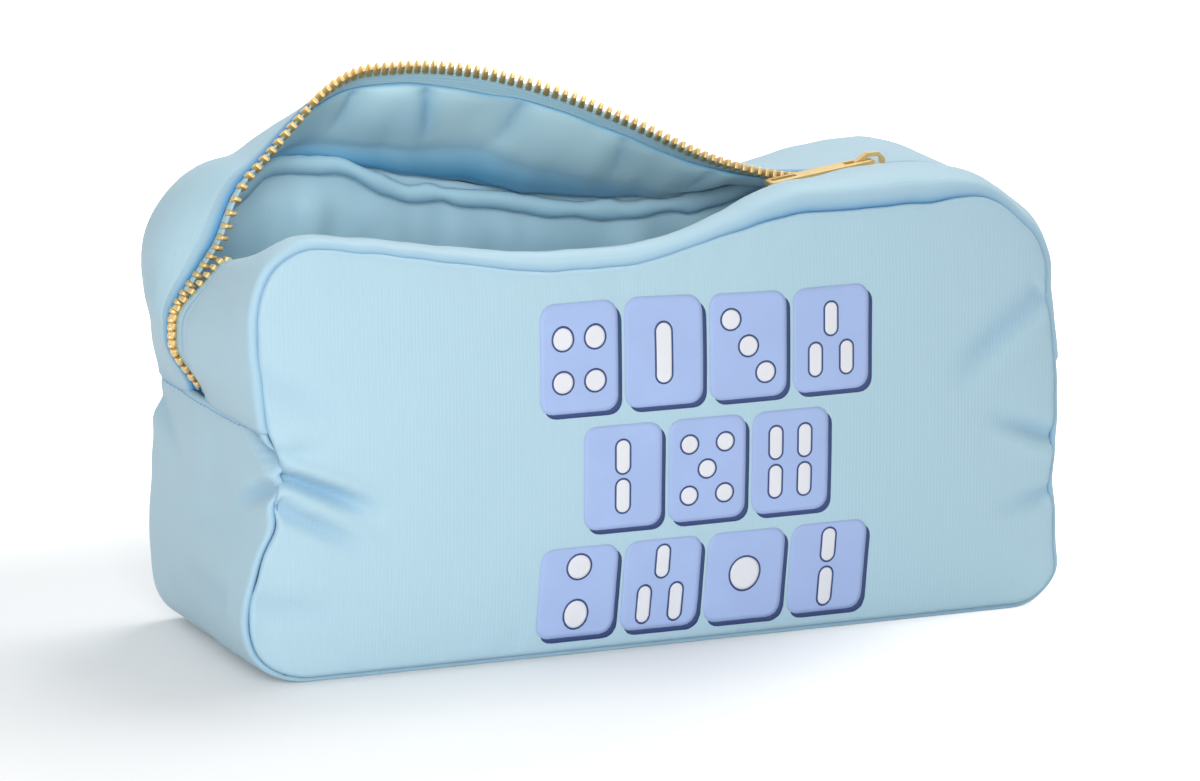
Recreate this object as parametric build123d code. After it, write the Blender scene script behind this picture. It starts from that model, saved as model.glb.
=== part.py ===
"""A soft zip case for game tiles: two rounded panels joined by a gusset, with a metal zip over the top.

Frame: +X along the case's width, +Y towards the back, +Z up. The origin is the middle of the base.
The case stands with its zip open: the back lip stands up and the front lip hangs inside.
Lengths are in millimetres and angles in degrees.
"""

from build123d import *
import os
from math import cos, pi, radians, sin

# ---- case ----
case_width = 248.0
case_height = 126.0
case_depth = 88.0
left_top_radius = 15.0
right_top_radius = 27.0
bottom_corner_radius = 13.0
joint_height = 74.0
shell_thickness = 0.8
padding_thickness = 2.0
lining_thickness = 0.4
layer_gap = 0.1
seam_allowance = 3.0
binding_thickness = 1.4
binding_width = 4.4
binding_clearance = 1.0
hem_height = 5.0
hem_thickness = 0.5
panel_crown = 4.6
crown_steps = ((0.0, 0.0), (8.0, 0.42), (18.0, 0.8), (34.0, 1.0))
seam_steps = 16
rim_steps = 4

# ---- mouth: how the two top seams sag ----
front_low = 1.5
front_low_run = 15.0
front_sag = 11.0
front_sag_at = -23.0
front_sag_flat = 5.0
front_sag_short = 30.0
back_lift = 11.0
back_lift_at = -90.0
back_lift_to = -22.0
back_sag = 9.0
back_sag_from = -45.0
back_sag_flat_from = 20.0
back_sag_flat_to = 35.0

# ---- lips: how far and where they are folded open ----
lip_clearance = 0.3
back_open_angle = 59.0
back_open_from = -138.0
back_peak_from = -65.0
back_peak_to = -57.0
back_closed_short = 4.0
back_fold_length = 11.0
back_hinge_drop = -4.0
front_open_angle = 95.0
front_open_from = -128.0
front_peak_from = -90.0
front_peak_to = 0.0
front_closed_short = 2.0
front_fold_length = 9.0
front_hinge_inset = 6.8
front_hinge_drop = 9.0
end_puff_height = 8.5
end_puff_low = 16.0
end_puff_high = 24.0
corner_dip = 7.0
corner_dip_inset = 19.5
corner_dip_flat = 1.0
corner_dip_reach = 18.7
station_step = 8.0
corner_steps = 8
left_end_steps = 4
right_end_steps = 3
fold_steps = 3

# ---- zip ----
tape_thickness = 0.6
tape_edge = 1.8
tape_width = 14.8
strip_edge = 7.0
lining_edge = 8.0
tooth_pitch = 2.5
tooth_thickness = 1.0
tooth_height = 2.6
tooth_overlap = 0.7
tooth_length = 3.6
tooth_chamfer = 0.25
tooth_slot = 1.35
tooth_slot_depth = 2.1
end_teeth_gap = 2.2
rows_part_at = -138.0
rows_part_run = 9.0
rows_join_run = 30.0
left_end_shift = 11.5
left_end_shift_inset = 0.0
left_end_shift_run = 43.0
chain_shift = 3.6
chain_shift_start = 66.0
chain_shift_full = 36.0
chain_shift_fade = 14.0
chain_shift_end = 1.0

# ---- slider and pull ----
slider_at = 83.0
slider_length = 14.0
slider_travel = 173.0
slider_nose_cut = 1.8
slider_corner = 0.6
slider_edge = 0.35
wing_thickness = 1.1
channel_height = 3.0
channel_clearance = 0.2
flange_thickness = 0.7
tape_slot = 1.1
post_width = 1.8
post_length = 4.0
post_inset = 0.3
post_taper = 1.2
post_clearance = 0.15
bridge_width = 2.2
bridge_thickness = 1.2
bridge_length = 9.5
bridge_height = 4.4
bridge_corner = 1.9
bridge_tip_gap = 1.0
bridge_edge = 0.4
pull_length = 34.0
pull_width = 5.5
pull_thickness = 1.3
pull_corner = 1.2
pull_edge = 0.2
pull_tilt = 7.6
pull_bar_radius = 0.7
pull_bar_height = 1.9
pull_bar_at = 1.0
inner_slot_length = 7.4
outer_slot_length = 8.0
outer_slot_width = 2.6
outer_slot_corner = 0.5
pull_end_width = 1.4
slot_clearance = 0.35

# ---- worked out from the above ----
half_width = case_width / 2
half_depth = case_depth / 2
left_straight = half_width - left_top_radius
right_straight = half_width - right_top_radius
lining_inset = padding_thickness + lining_thickness
strip_span = half_depth - lip_clearance
chain_depth = shell_thickness + layer_gap + tape_thickness / 2
chain_z = case_height - chain_depth
slider_nose = slider_at - slider_length / 2
post_spread = tooth_overlap + post_width / 2 + post_clearance
rows_meet_from = slider_nose + post_length + post_inset + tooth_overlap
rows_meet_at = slider_at + slider_length / 4
tooth_reach = tooth_length - tooth_overlap
wing_top = chain_z + channel_height / 2 + wing_thickness


def smooth(t):
    """A smooth step from 0 to 1 as t goes from 0 to 1."""
    t = min(1.0, max(0.0, t))
    return t * t * (3 - 2 * t)


def rise_and_fall(x, start, full_from, full_to, end):
    """0 up to start, 1 between full_from and full_to, and 0 again past end."""
    return min(smooth((x - start) / (full_from - start)), smooth((end - x) / (end - full_to)))


# The functions below take q: the distance along the closed case's outline from the middle of its top,
# which is x on the straight part of the top.
def front_drop(q):
    """How far the front panel's top seam sags below the closed case's top."""
    low_from, low_to = front_low_run - left_straight, right_straight - front_low_run
    low = rise_and_fall(q, -left_straight, low_from, low_to, right_straight)
    flat = front_sag_at - front_sag_flat, front_sag_at + front_sag_flat
    sagging = rise_and_fall(q, -left_straight, *flat, slider_nose - front_sag_short)
    return front_low * low + front_sag * sagging


def back_drop(q):
    """How far the back panel's top seam lies below the closed top; negative where the lip pulls it up."""
    lifted = rise_and_fall(q, -left_straight, back_lift_at, back_lift_at, back_lift_to)
    sagging = rise_and_fall(q, back_sag_from, back_sag_flat_from, back_sag_flat_to, right_straight)
    return back_sag * sagging - back_lift * lifted


def back_opening(q):
    """The share of its full angle by which the back lip is open."""
    return rise_and_fall(q, back_open_from, back_peak_from, back_peak_to, slider_nose - back_closed_short)


def front_opening(q):
    """The share of its full angle by which the front lip is folded in."""
    return rise_and_fall(q, front_open_from, front_peak_from, front_peak_to, slider_nose - front_closed_short)


def chain_offset(q):
    """How far back the chain lies: at the left end, and beside the pull where the open rows part."""
    at_end = smooth((left_end_shift_inset - left_straight - q) / left_end_shift_run)
    full, fade = slider_nose - chain_shift_full, slider_nose - chain_shift_fade
    by_pull = rise_and_fall(q, slider_nose - chain_shift_start, full, fade, slider_nose - chain_shift_end)
    return left_end_shift * at_end + chain_shift * by_pull


def row_spread(q):
    """How far each row of teeth is held off the centre line: by the slider, and at the left end."""
    closed_from, closed_at = rows_meet_from - slider_travel, rows_meet_at - slider_travel
    by_end = rise_and_fall(q, rows_part_at - rows_part_run, rows_part_at, closed_from, closed_at)
    by_slider = rise_and_fall(q, slider_nose - rows_join_run, slider_nose, rows_meet_from, rows_meet_at)
    return post_spread * (by_end + by_slider)


def end_puff(q):
    """How far the middle of the lips swells outwards over the ends, and dips at the open end's corner."""
    x_sign = -1 if q < 0 else 1
    straight, _ = corner_of(x_sign)
    joint = end_run(x_sign)
    puff = rise_and_fall(abs(q), straight, joint - end_puff_high, joint - end_puff_low, joint)
    dip_at = -left_straight - corner_dip_inset
    flat = dip_at - corner_dip_flat, dip_at + corner_dip_flat
    dip = rise_and_fall(q, dip_at - corner_dip_reach, *flat, dip_at + corner_dip_reach)
    return end_puff_height * puff - corner_dip * dip


# ---- panels, paddings, linings and bindings: flat layers with one outline ----
def outline(inset, drop, y):
    """The panels' outline in the plane at y, moved inwards by inset, with its top edge lowered by drop."""
    half = half_width - inset
    high = case_height - inset
    lean = 1 - cos(pi / 4)

    def corner(x_sign, top):
        top_radius = left_top_radius if x_sign < 0 else right_top_radius
        radius = (top_radius if top else bottom_corner_radius) - inset
        side_z = high - radius if top else inset + radius
        end_z = high if top else inset
        away = radius * lean
        side = Vector(x_sign * half, y, side_z)
        middle = Vector(x_sign * (half - away), y, high - away if top else inset + away)
        end = Vector(x_sign * (half - radius), y, end_z)
        return side, middle, end

    left_low, right_low = corner(-1, False), corner(1, False)
    left_top, right_top = corner(-1, True), corner(1, True)
    start, stop = left_top[2].X, right_top[2].X
    tops = [start + (stop - start) * i / seam_steps for i in range(seam_steps + 1)]
    along = [Vector(x, y, high - drop(x)) for x in tops]
    level = (Vector(1, 0, 0), Vector(1, 0, 0))
    edges = [
        Edge.make_line(left_low[2], right_low[2]),
        Edge.make_three_point_arc(*reversed(right_low)),
        Edge.make_line(right_low[0], right_top[0]),
        Edge.make_three_point_arc(*right_top),
        Edge.make_spline(along, tangents=level),
        Edge.make_three_point_arc(*reversed(left_top)),
        Edge.make_line(left_top[0], left_low[0]),
        Edge.make_three_point_arc(*left_low),
    ]
    return Wire(edges)


def layer(inset, drop, y_from, y_to):
    """A flat layer of the panels' outline between two planes."""
    return Solid.extrude(Face(outline(inset, drop, y_from)), Vector(0, y_to - y_from, 0))


def level_drop(q):
    """The drop of an edge that stays level."""
    return 0.0


def band(inset, thickness, half_span, top):
    """A strip round the ends and the base, below top, between the planes at plus and minus half_span."""
    outer = layer(inset, level_drop, -half_span, half_span)
    inner = layer(inset + thickness, level_drop, -case_depth, case_depth)
    on_base = (Align.CENTER, Align.CENTER, Align.MIN)
    above = Box(case_width * 2, case_depth * 2, case_height * 2, align=on_base)
    return outer - inner - above.moved(Location((0, 0, top)))


def skin(sections):
    """A solid through matching polygon sections, with a straight-ruled patch between each pair of sides."""
    faces = [Face(Wire.make_polygon(section, close=True)) for section in (sections[0], sections[-1])]
    count = len(sections[0])
    for near, far in zip(sections, sections[1:]):
        for i in range(count):
            j = (i + 1) % count
            faces.append(Face.make_bezier_surface([[near[i], near[j]], [far[i], far[j]]]))
    return Solid(Shell(faces))


def rim(inset, drop):
    """Points (x, z) round the panels' outline, moved inwards by inset, with its top lowered by drop."""
    points = []
    for corner, (x_sign, top) in enumerate(((1, False), (1, True), (-1, True), (-1, False))):
        top_radius = left_top_radius if x_sign < 0 else right_top_radius
        radius = (top_radius if top else bottom_corner_radius) - inset
        centre_x = x_sign * (half_width - inset - radius)
        centre_z = case_height - inset - radius if top else inset + radius
        for i in range(rim_steps + 1):
            angle = (corner - 1 + i / rim_steps) * pi / 2
            points.append((centre_x + radius * cos(angle), centre_z + radius * sin(angle)))
        if corner == 1:
            start, stop = right_straight, -left_straight
            tops = [start + (stop - start) * i / seam_steps for i in range(1, seam_steps)]
            points += [(x, case_height - inset - drop(x)) for x in tops]
    return points


def crowned_layer(side, inset, drop, near, far):
    """A layer of a panel between two distances from the middle plane, bowed outwards by the crown."""
    middle = case_height / 2
    edge = rim(inset, drop)

    def ring(distance, step, share):
        narrower, lower = 1 - step / half_width, 1 - step / middle
        y = side * (distance + panel_crown * share)
        return [Vector(x * narrower, y, middle + (z - middle) * lower) for x, z in edge]

    inner = [ring(near, *step) for step in crown_steps]
    outer = [ring(far, *step) for step in crown_steps]
    return skin(inner[::-1] + outer)


def panel(side, drop):
    return crowned_layer(side, 0, drop, half_depth, half_depth + shell_thickness)


def panel_padding(side, drop):
    return crowned_layer(side, seam_allowance, drop, half_depth - padding_thickness, half_depth)


def panel_lining(side, drop):
    far = half_depth - padding_thickness
    return crowned_layer(side, seam_allowance, drop, far - lining_thickness, far)


def panel_binding(side, drop):
    """The bound seam allowance, a flat ring against the panel's lining."""
    near = half_depth - lining_inset
    start = shell_thickness + lining_inset + binding_clearance
    outer = layer(start, drop, side * near, side * (near - binding_thickness))
    inner = layer(start + binding_width, drop, side * half_depth, side * (near - 2 * binding_thickness))
    return outer - inner


def gusset():
    """The lower gusset, with a turned hem at each end where the zip strips join it."""
    strip = band(0, shell_thickness, half_depth, joint_height)
    for x_sign in (-1, 1):
        hem = Box(hem_thickness, case_depth, hem_height)
        at = (x_sign * (half_width + hem_thickness / 2), 0, joint_height - hem_height / 2)
        strip = strip + hem.moved(Location(at))
    return strip


# ---- lips: each is a strip, a tape, a lining and a row of teeth ----
def corner_of(x_sign):
    """A top corner of the closed outline: where its curve starts, and its radius."""
    return (left_straight, left_top_radius) if x_sign < 0 else (right_straight, right_top_radius)


def end_run(x_sign):
    """The distance along the closed outline from the middle of its top to a joint's seam."""
    straight, radius = corner_of(x_sign)
    return straight + radius * pi / 2 + case_height - radius - joint_height - lip_clearance


def outline_point(q):
    """The closed outline at q, as (x, z, normal x, normal z)."""
    x_sign = -1 if q < 0 else 1
    straight, radius = corner_of(x_sign)
    run = abs(q) - straight
    if run <= 0:
        return q, case_height, 0.0, 1.0
    turn = run / radius
    if turn <= pi / 2:
        x = x_sign * (straight + radius * sin(turn))
        return x, case_height - radius * (1 - cos(turn)), x_sign * sin(turn), cos(turn)
    return x_sign * half_width, case_height - radius - (run - radius * pi / 2), float(x_sign), 0.0


def stations():
    """Distances along the closed outline at which the lips are drawn, from the left joint to the right."""
    left_curve, right_curve = left_top_radius * pi / 2, right_top_radius * pi / 2
    mouth_steps = round((left_straight + slider_nose) / station_step)
    marks = [
        (-end_run(-1), left_end_steps),
        (-left_straight - left_curve, corner_steps),
        (-left_straight, mouth_steps),
        (slider_nose, 1),
        (rows_meet_from, 1),
        (rows_meet_at, 1),
        (right_straight, corner_steps),
        (right_straight + right_curve, right_end_steps),
        (end_run(1), 0),
    ]
    found = [marks[0][0]]
    for (start, count), (stop, _) in zip(marks, marks[1:]):
        found += [start + (stop - start) * (i + 1) / count for i in range(count)]
    return found


def hinge(side):
    """Where the lip's fold axis crosses the plane across the case, as (y, z)."""
    if side > 0:
        return half_depth, case_height - back_hinge_drop
    return -half_depth + front_hinge_inset, case_height - front_hinge_drop


def fold_angle(side, q, across):
    """How far a point of the lip is turned about its fold axis, in degrees."""
    if side > 0:
        return -back_open_angle * back_opening(q) * smooth(across / back_fold_length)
    return -front_open_angle * front_opening(q) * smooth(across / front_fold_length)


def lip_point(side, q, across, depth, spread=True):
    """A point of a lip: across from its seam towards the zip, and depth below the outer face."""
    x, z, nx, nz = outline_point(q)
    share = across / half_depth
    drop = back_drop(q) if side > 0 else front_drop(q)
    y = side * (strip_span - across)
    y += share * (chain_offset(q) + side * (row_spread(q) if spread else 0.0))
    sink = depth - end_puff(q) * share
    hinge_y, hinge_z = hinge(side)
    turn = radians(fold_angle(side, q, across))
    dy, dz = y - hinge_y, z - nz * sink - drop * (1 - share) - hinge_z
    turned_y, turned_z = dy * cos(turn) - dz * sin(turn), dy * sin(turn) + dz * cos(turn)
    return Vector(x - nx * sink, hinge_y + turned_y, hinge_z + turned_z)


def ribbon(side, depth, thickness, marks):
    """A strip of a lip between two depths, through every station, with its corners at marks across."""
    sections = []
    for q in stations():
        outer = [lip_point(side, q, across, depth) for across in marks]
        inner = [lip_point(side, q, across, depth + thickness) for across in reversed(marks)]
        sections.append(outer + inner)
    return skin(sections)


def fold_marks(side):
    """Distances across the lip at which its fold is drawn."""
    length = back_fold_length if side > 0 else front_fold_length
    return [length * i / fold_steps for i in range(fold_steps + 1)]


def lip_strip(side):
    return ribbon(side, 0, shell_thickness, fold_marks(side) + [strip_span - strip_edge])


def lip_lining(side):
    depth = shell_thickness + tape_thickness + 2 * layer_gap
    return ribbon(side, depth, lining_thickness, fold_marks(side) + [strip_span - lining_edge])


def lip_tape(side):
    inner = strip_span - tape_edge
    return ribbon(side, shell_thickness + layer_gap, tape_thickness, [inner - tape_width, inner])


def tooth():
    """One tooth, its tip towards +Y and its thickness along X, with a slot that grips the tape's edge."""
    body = Box(tooth_thickness, tooth_length, tooth_height)
    body = chamfer(body.edges().filter_by(Axis.X), tooth_chamfer)
    slot = Box(tooth_thickness * 2, tooth_slot_depth, tooth_slot)
    body = body - slot.moved(Location((0, (tooth_slot_depth - tooth_length) / 2, 0)))
    return body.moved(Location((0, tooth_overlap - tooth_length / 2, 0)))


def chain_run(q):
    """The distance along the closed chain, which lies a little inside the outline, at q."""
    straight, radius = corner_of(-1 if q < 0 else 1)
    curve = min(max(abs(q) - straight, 0.0), radius * pi / 2)
    return (abs(q) - curve * chain_depth / radius) * (-1 if q < 0 else 1)


def chain_place(run):
    """The inverse of chain_run."""
    straight, radius = corner_of(-1 if run < 0 else 1)
    short = 1 - chain_depth / radius
    curve = min(max(abs(run) - straight, 0.0) / short, radius * pi / 2)
    return (abs(run) + curve * (1 - short)) * (-1 if run < 0 else 1)


def tooth_places(side):
    """Where the teeth of a row stand along the closed outline, half a pitch off the other row's."""
    marks = stations()
    first, last = chain_run(marks[0]) + end_teeth_gap, chain_run(marks[-1]) - end_teeth_gap
    shift = 0.0 if side > 0 else 0.5
    count = round((last - first) / tooth_pitch)
    runs = [(i + shift) * tooth_pitch for i in range(-count, count)]
    return [chain_place(run) for run in runs if first <= run <= last]


def lip_teeth(side):
    """A row of teeth along the tape's edge."""
    marks = stations()
    shape = tooth()
    placed = []
    for q in tooth_places(side):
        span = max(i for i in range(len(marks) - 1) if marks[i] <= q)
        share = (q - marks[span]) / (marks[span + 1] - marks[span])

        def between(across, spread=True):
            ends = [lip_point(side, marks[span + i], across, chain_depth, spread) for i in (0, 1)]
            return ends[0] + (ends[1] - ends[0]) * share

        tip = (between(strip_span, False) - between(strip_span - tooth_length, False)).normalized()
        near = [q + tooth_pitch / 4, q - tooth_pitch / 4]
        ahead, behind = [lip_point(side, at, strip_span, chain_depth, False) for at in near]
        along = (ahead - behind).normalized()
        along = (along - tip * along.dot(tip)).normalized()
        plane = Plane(origin=between(strip_span), x_dir=along, z_dir=along.cross(tip))
        placed.append(plane.location * shape)
    return Compound(children=placed)


# ---- slider ----
def slab(points, z_from, z_to):
    """A flat plate with a polygon outline about the slider's centre."""
    face = Face(Wire.make_polygon([Vector(slider_at + x, y, z_from) for x, y in points], close=True))
    return Solid.extrude(face, Vector(0, 0, z_to - z_from))


def mirrored(points):
    """A closed outline from its points on the +Y side."""
    return points + [(x, -y) for x, y in reversed(points)]


def slider_outline(inset):
    """The slider's outline about its centre, wide at the nose where the rows are parted."""
    tail_half = tooth_reach + channel_clearance + flange_thickness - inset
    nose_half = tail_half + post_spread
    length = slider_length / 2
    points = [
        (-length, nose_half - slider_nose_cut),
        (-length + slider_nose_cut, nose_half),
        (-length + post_length + slider_nose_cut, nose_half),
        (rows_meet_at - slider_at, tail_half),
        (length, tail_half),
    ]
    return mirrored(points)


def slider_body():
    """Two wings and their flanges, joined by the post that parts the rows."""
    half_channel = channel_height / 2
    half_height = half_channel + wing_thickness
    body = slab(slider_outline(0), chain_z - half_height, chain_z + half_height)
    body = fillet(body.edges().filter_by(Axis.Z), slider_corner)
    body = chamfer(body.faces().sort_by(Axis.Z)[-1].edges(), slider_edge)
    channel = slab(slider_outline(flange_thickness), chain_z - half_channel, chain_z + half_channel)
    tail_half = tooth_reach + channel_clearance
    nose_half = tail_half + post_spread
    length = slider_length / 2
    nose_mouth = mirrored([(-length * 2, nose_half), (-length / 2, nose_half)])
    tail_mouth = mirrored([(0, tail_half), (length * 2, tail_half)])
    slot = Box(slider_length * 2, case_depth, tape_slot).moved(Location((slider_at, 0, chain_z)))
    body = body - channel - slot
    for mouth in (nose_mouth, tail_mouth):
        body = body - slab(mouth, chain_z - half_channel, chain_z + half_channel)
    start = -length + post_inset
    end = start + post_length
    sides = [(start + post_taper, post_width / 2), (end - post_taper, post_width / 2)]
    post = [(start, 0)] + sides + [(end, 0)] + [(x, -y) for x, y in reversed(sides)]
    half_post = half_channel + wing_thickness / 2
    return body + slab(post, chain_z - half_post, chain_z + half_post)


def slider_bridge():
    """The hooked bridge on the upper wing; its tip stops short of the wing so the pull can be hooked on."""
    left = slider_at - bridge_length / 2 + pull_bar_at
    right = left + bridge_length
    base = wing_top
    top = base + bridge_height
    tip = base + bridge_tip_gap
    inside = bridge_thickness
    corner = bridge_corner
    points = [
        (right, tip),
        (right, top - corner),
        (right - corner, top),
        (left + 2 * corner, top),
        (left, base + corner),
        (left, base),
        (left + 2 * inside, base),
        (left + 2 * inside, base + corner / 2),
        (left + 2 * corner, top - inside),
        (right - corner, top - inside),
        (right - inside, top - corner),
        (right - inside, tip),
    ]
    face = Face(Wire.make_polygon([Vector(x, -bridge_width / 2, z) for x, z in points], close=True))
    body = Solid.extrude(face, Vector(0, bridge_width, 0))
    upper = [e for e in body.edges().filter_by(Axis.Y) if e.center().Z > top - corner]
    return fillet(upper, bridge_edge)


def pull_tab():
    """The pull, lying towards the open end: a bar with a slot at each end, hung on the bridge."""
    pivot = Vector(slider_at + pull_bar_at, 0, wing_top + pull_bar_height)
    reach = pull_length - pull_bar_radius
    bar = Box(reach, pull_width, pull_thickness)
    far_corners = bar.edges().filter_by(Axis.Z).sort_by(Axis.X)[:2]
    bar = fillet(far_corners, pull_corner)
    bar = chamfer(bar.faces().sort_by(Axis.Z)[-1].edges(), pull_edge)
    bar = bar.moved(Location((-reach / 2, 0, 0)))
    inner = Box(pull_bar_radius + inner_slot_length, bridge_width + 2 * slot_clearance, pull_thickness * 3)
    inner = inner.moved(Location((-(pull_bar_radius + inner_slot_length) / 2, 0, 0)))
    outer = Box(outer_slot_length, outer_slot_width, pull_thickness * 3)
    outer = fillet(outer.edges().filter_by(Axis.Z), outer_slot_corner)
    outer = outer.moved(Location((-reach + pull_end_width + outer_slot_length / 2, 0, 0)))
    rod = Cylinder(pull_bar_radius, pull_width, rotation=(90, 0, 0))
    tab = bar - inner - outer + rod
    return tab.moved(Location(pivot, (0, -pull_tilt, 0)))


def build():
    gusset_span = half_depth - lining_inset
    padding_top = joint_height - seam_allowance
    lining_from = shell_thickness + padding_thickness
    made = {
        "front_panel": panel(-1, front_drop),
        "back_panel": panel(1, back_drop),
        "bottom_gusset": gusset(),
        "front_padding": panel_padding(-1, front_drop),
        "back_padding": panel_padding(1, back_drop),
        "gusset_padding": band(shell_thickness, padding_thickness, gusset_span, padding_top),
        "front_lining": panel_lining(-1, front_drop),
        "back_lining": panel_lining(1, back_drop),
        "gusset_lining": band(lining_from, lining_thickness, gusset_span, joint_height),
        "front_binding": panel_binding(-1, front_drop),
        "back_binding": panel_binding(1, back_drop),
        "slider_body": slider_body(),
        "slider_bridge": slider_bridge(),
        "pull_tab": pull_tab(),
    }
    for side, name in ((-1, "front"), (1, "back")):
        made[name + "_zip_strip"] = lip_strip(side)
        made[name + "_lip_lining"] = lip_lining(side)
        made[name + "_zip_tape"] = lip_tape(side)
        made[name + "_zip_teeth"] = lip_teeth(side)
    return made


os.makedirs("parts", exist_ok=True)
for node, shape in build().items():
    export_step(shape, f"parts/{node}.step")
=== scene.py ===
"""Dresses a soft zip case for game tiles: puffed nylon over a satin lining, a brass zip and a printed front.

Everything is worked out in millimetres about the middle of the case's base and placed in metres.
+X runs along the case, +Y to its back and +Z up.
"""

from math import cos, pi, radians, sin, sqrt, tau

import bpy
import numpy as np
from mathutils import Matrix, Vector, noise


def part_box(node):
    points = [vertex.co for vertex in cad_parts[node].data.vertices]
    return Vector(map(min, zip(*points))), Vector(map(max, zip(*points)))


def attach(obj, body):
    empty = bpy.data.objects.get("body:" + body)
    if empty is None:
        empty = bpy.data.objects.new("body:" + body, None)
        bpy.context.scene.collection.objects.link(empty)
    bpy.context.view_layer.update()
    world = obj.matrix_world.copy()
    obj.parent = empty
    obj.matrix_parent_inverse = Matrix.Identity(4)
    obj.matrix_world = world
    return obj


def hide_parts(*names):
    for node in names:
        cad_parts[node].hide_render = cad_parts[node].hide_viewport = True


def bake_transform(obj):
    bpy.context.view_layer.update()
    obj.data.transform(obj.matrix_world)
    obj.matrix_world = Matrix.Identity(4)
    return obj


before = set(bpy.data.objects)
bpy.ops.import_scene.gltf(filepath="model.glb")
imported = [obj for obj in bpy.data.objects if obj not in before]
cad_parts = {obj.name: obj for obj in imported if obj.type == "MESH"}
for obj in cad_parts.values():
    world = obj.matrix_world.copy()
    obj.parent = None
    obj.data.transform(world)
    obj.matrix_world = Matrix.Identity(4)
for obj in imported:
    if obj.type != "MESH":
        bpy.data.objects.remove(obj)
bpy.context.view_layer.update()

bl_info = {
    "name": "Zip Tile Case",
    "version": (1, 0, 0),
    "blender": (4, 5, 0),
    "location": "3D View > Sidebar > Zip Case",
    "description": "Builds the cloth, zip and print of a soft case round its fixed frame",
    "category": "Object",
}

MM = 0.001


def extent(node, axis):
    """A node's lowest and highest place along an axis, in millimetres."""
    low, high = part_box(node)
    return low[axis] / MM, high[axis] / MM


# ---- the case's main sizes, from its frame ----
HALF_WIDTH = extent("front_panel", 0)[1]
HEIGHT = extent("front_panel", 2)[1]
SHELL = 0.8
HALF_DEPTH = extent("bottom_gusset", 1)[1]
OUTER_DEPTH = HALF_DEPTH + SHELL
LEFT_TOP_RADIUS = 15.0
RIGHT_TOP_RADIUS = 27.0
BOTTOM_RADIUS = 13.0
JOINT_HEIGHT = extent("bottom_gusset", 2)[1] + 0.3
STRIP_SPAN = HALF_DEPTH - 0.3
SLIDER_NOSE = extent("slider_body", 0)[0]
LEFT_STRAIGHT = HALF_WIDTH - LEFT_TOP_RADIUS
RIGHT_STRAIGHT = HALF_WIDTH - RIGHT_TOP_RADIUS


# ---- the outline's lengths: s runs from the middle of the top, positive to the right and down ----
def half_around(straight, radius):
    """The outline's length from the middle of the top, down one side, to the middle of the base."""
    return straight + (radius + BOTTOM_RADIUS) * (pi / 2 - 1) + (HEIGHT + HALF_WIDTH - BOTTOM_RADIUS)


def left_at(z):
    """s on the left side at a height."""
    return -(LEFT_STRAIGHT + LEFT_TOP_RADIUS * (pi / 2 - 1) + HEIGHT - z)


def right_at(z):
    """s on the right side at a height."""
    return RIGHT_STRAIGHT + RIGHT_TOP_RADIUS * (pi / 2 - 1) + HEIGHT - z


HALF_AROUND_LEFT = half_around(LEFT_STRAIGHT, LEFT_TOP_RADIUS)
HALF_AROUND_RIGHT = half_around(RIGHT_STRAIGHT, RIGHT_TOP_RADIUS)
JOINT_LEFT, JOINT_RIGHT = -left_at(JOINT_HEIGHT), right_at(JOINT_HEIGHT)
# s at the middle of each corner
LEFT_TOP = -(LEFT_STRAIGHT + LEFT_TOP_RADIUS * pi / 4)
RIGHT_TOP = RIGHT_STRAIGHT + RIGHT_TOP_RADIUS * pi / 4
LEFT_LOW = left_at(BOTTOM_RADIUS) - BOTTOM_RADIUS * pi / 4
RIGHT_LOW = right_at(BOTTOM_RADIUS) + BOTTOM_RADIUS * pi / 4

CASE_MIDDLE = (0, 0, 60)
SIDES = ((-1, "front"), (1, "back"))

# ---- cloth at a seam ----
ROLL_RADIUS = 1.3
ROLL_TURN = radians(135)
ROLL_LENGTH = ROLL_RADIUS * ROLL_TURN
ROLL_SIDE = ROLL_RADIUS * sin(pi / 4)
SEAM_DEPTH = ROLL_SIDE + ROLL_RADIUS
SEAM_Y = OUTER_DEPTH - SEAM_DEPTH
SEAM_IN = STRIP_SPAN - SEAM_Y
EDGE_ROWS = (0.0, 0.4, 0.8, 1.2, 1.6, 2.0, 2.5, 3.1, 3.9, 5.0, 6.4)

# ---- zip ----
CHAIN_DEPTH = 1.2
TAPE_THICKNESS = 0.6
TAPE_WIDTH = 14.8
TAPE_EDGE = 1.8
STRIP_EDGE = 6.4
LINING_EDGE = 8.0
TOOTH_PITCH = 2.5
TOOTH_OVERLAP = 0.7
TOOTH_LENGTH = 3.6
TOOTH_WIDTH = 1.9
TOOTH_TIP = 1.2
TOOTH_DEPTH = 2.5
TOOTH_ROUNDING = 0.34
POST_SPREAD = TOOTH_OVERLAP + 1.05

# ---- topstitching ----
STITCH_PITCH = 2.7
STITCH_SIZE = (1.9, 0.42, 0.34)
STITCH_LIFT = 0.02
STITCH_INSET = 2.6
HEM_STITCH = 3.6

# ---- thin layers ----
STRIP_CLOTH = 0.7
SATIN_CLOTH = 0.3
LIP_SATIN_CLOTH = 0.35
PANEL_LINING_DEPTH = 3.2
GUSSET_LINING_DEPTH = 3.4
LIP_LINING_DEPTH = 1.7
INK_CLOTH = 0.04
SEAM_SHADE_REACH = 0.8


def smooth(t):
    """A smooth step from 0 to 1 as t goes from 0 to 1."""
    t = np.clip(t, 0.0, 1.0)
    return t * t * (3 - 2 * t)


def rise_and_fall(x, start, full_from, full_to, end):
    """0 up to start, 1 between full_from and full_to, and 0 again past end."""
    return np.minimum(smooth((x - start) / (full_from - start)), smooth((end - x) / (end - full_to)))


def hump(x, at, run):
    """A soft hump of height 1 at a place."""
    return np.exp(-(((x - at) / run) ** 2))


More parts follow.
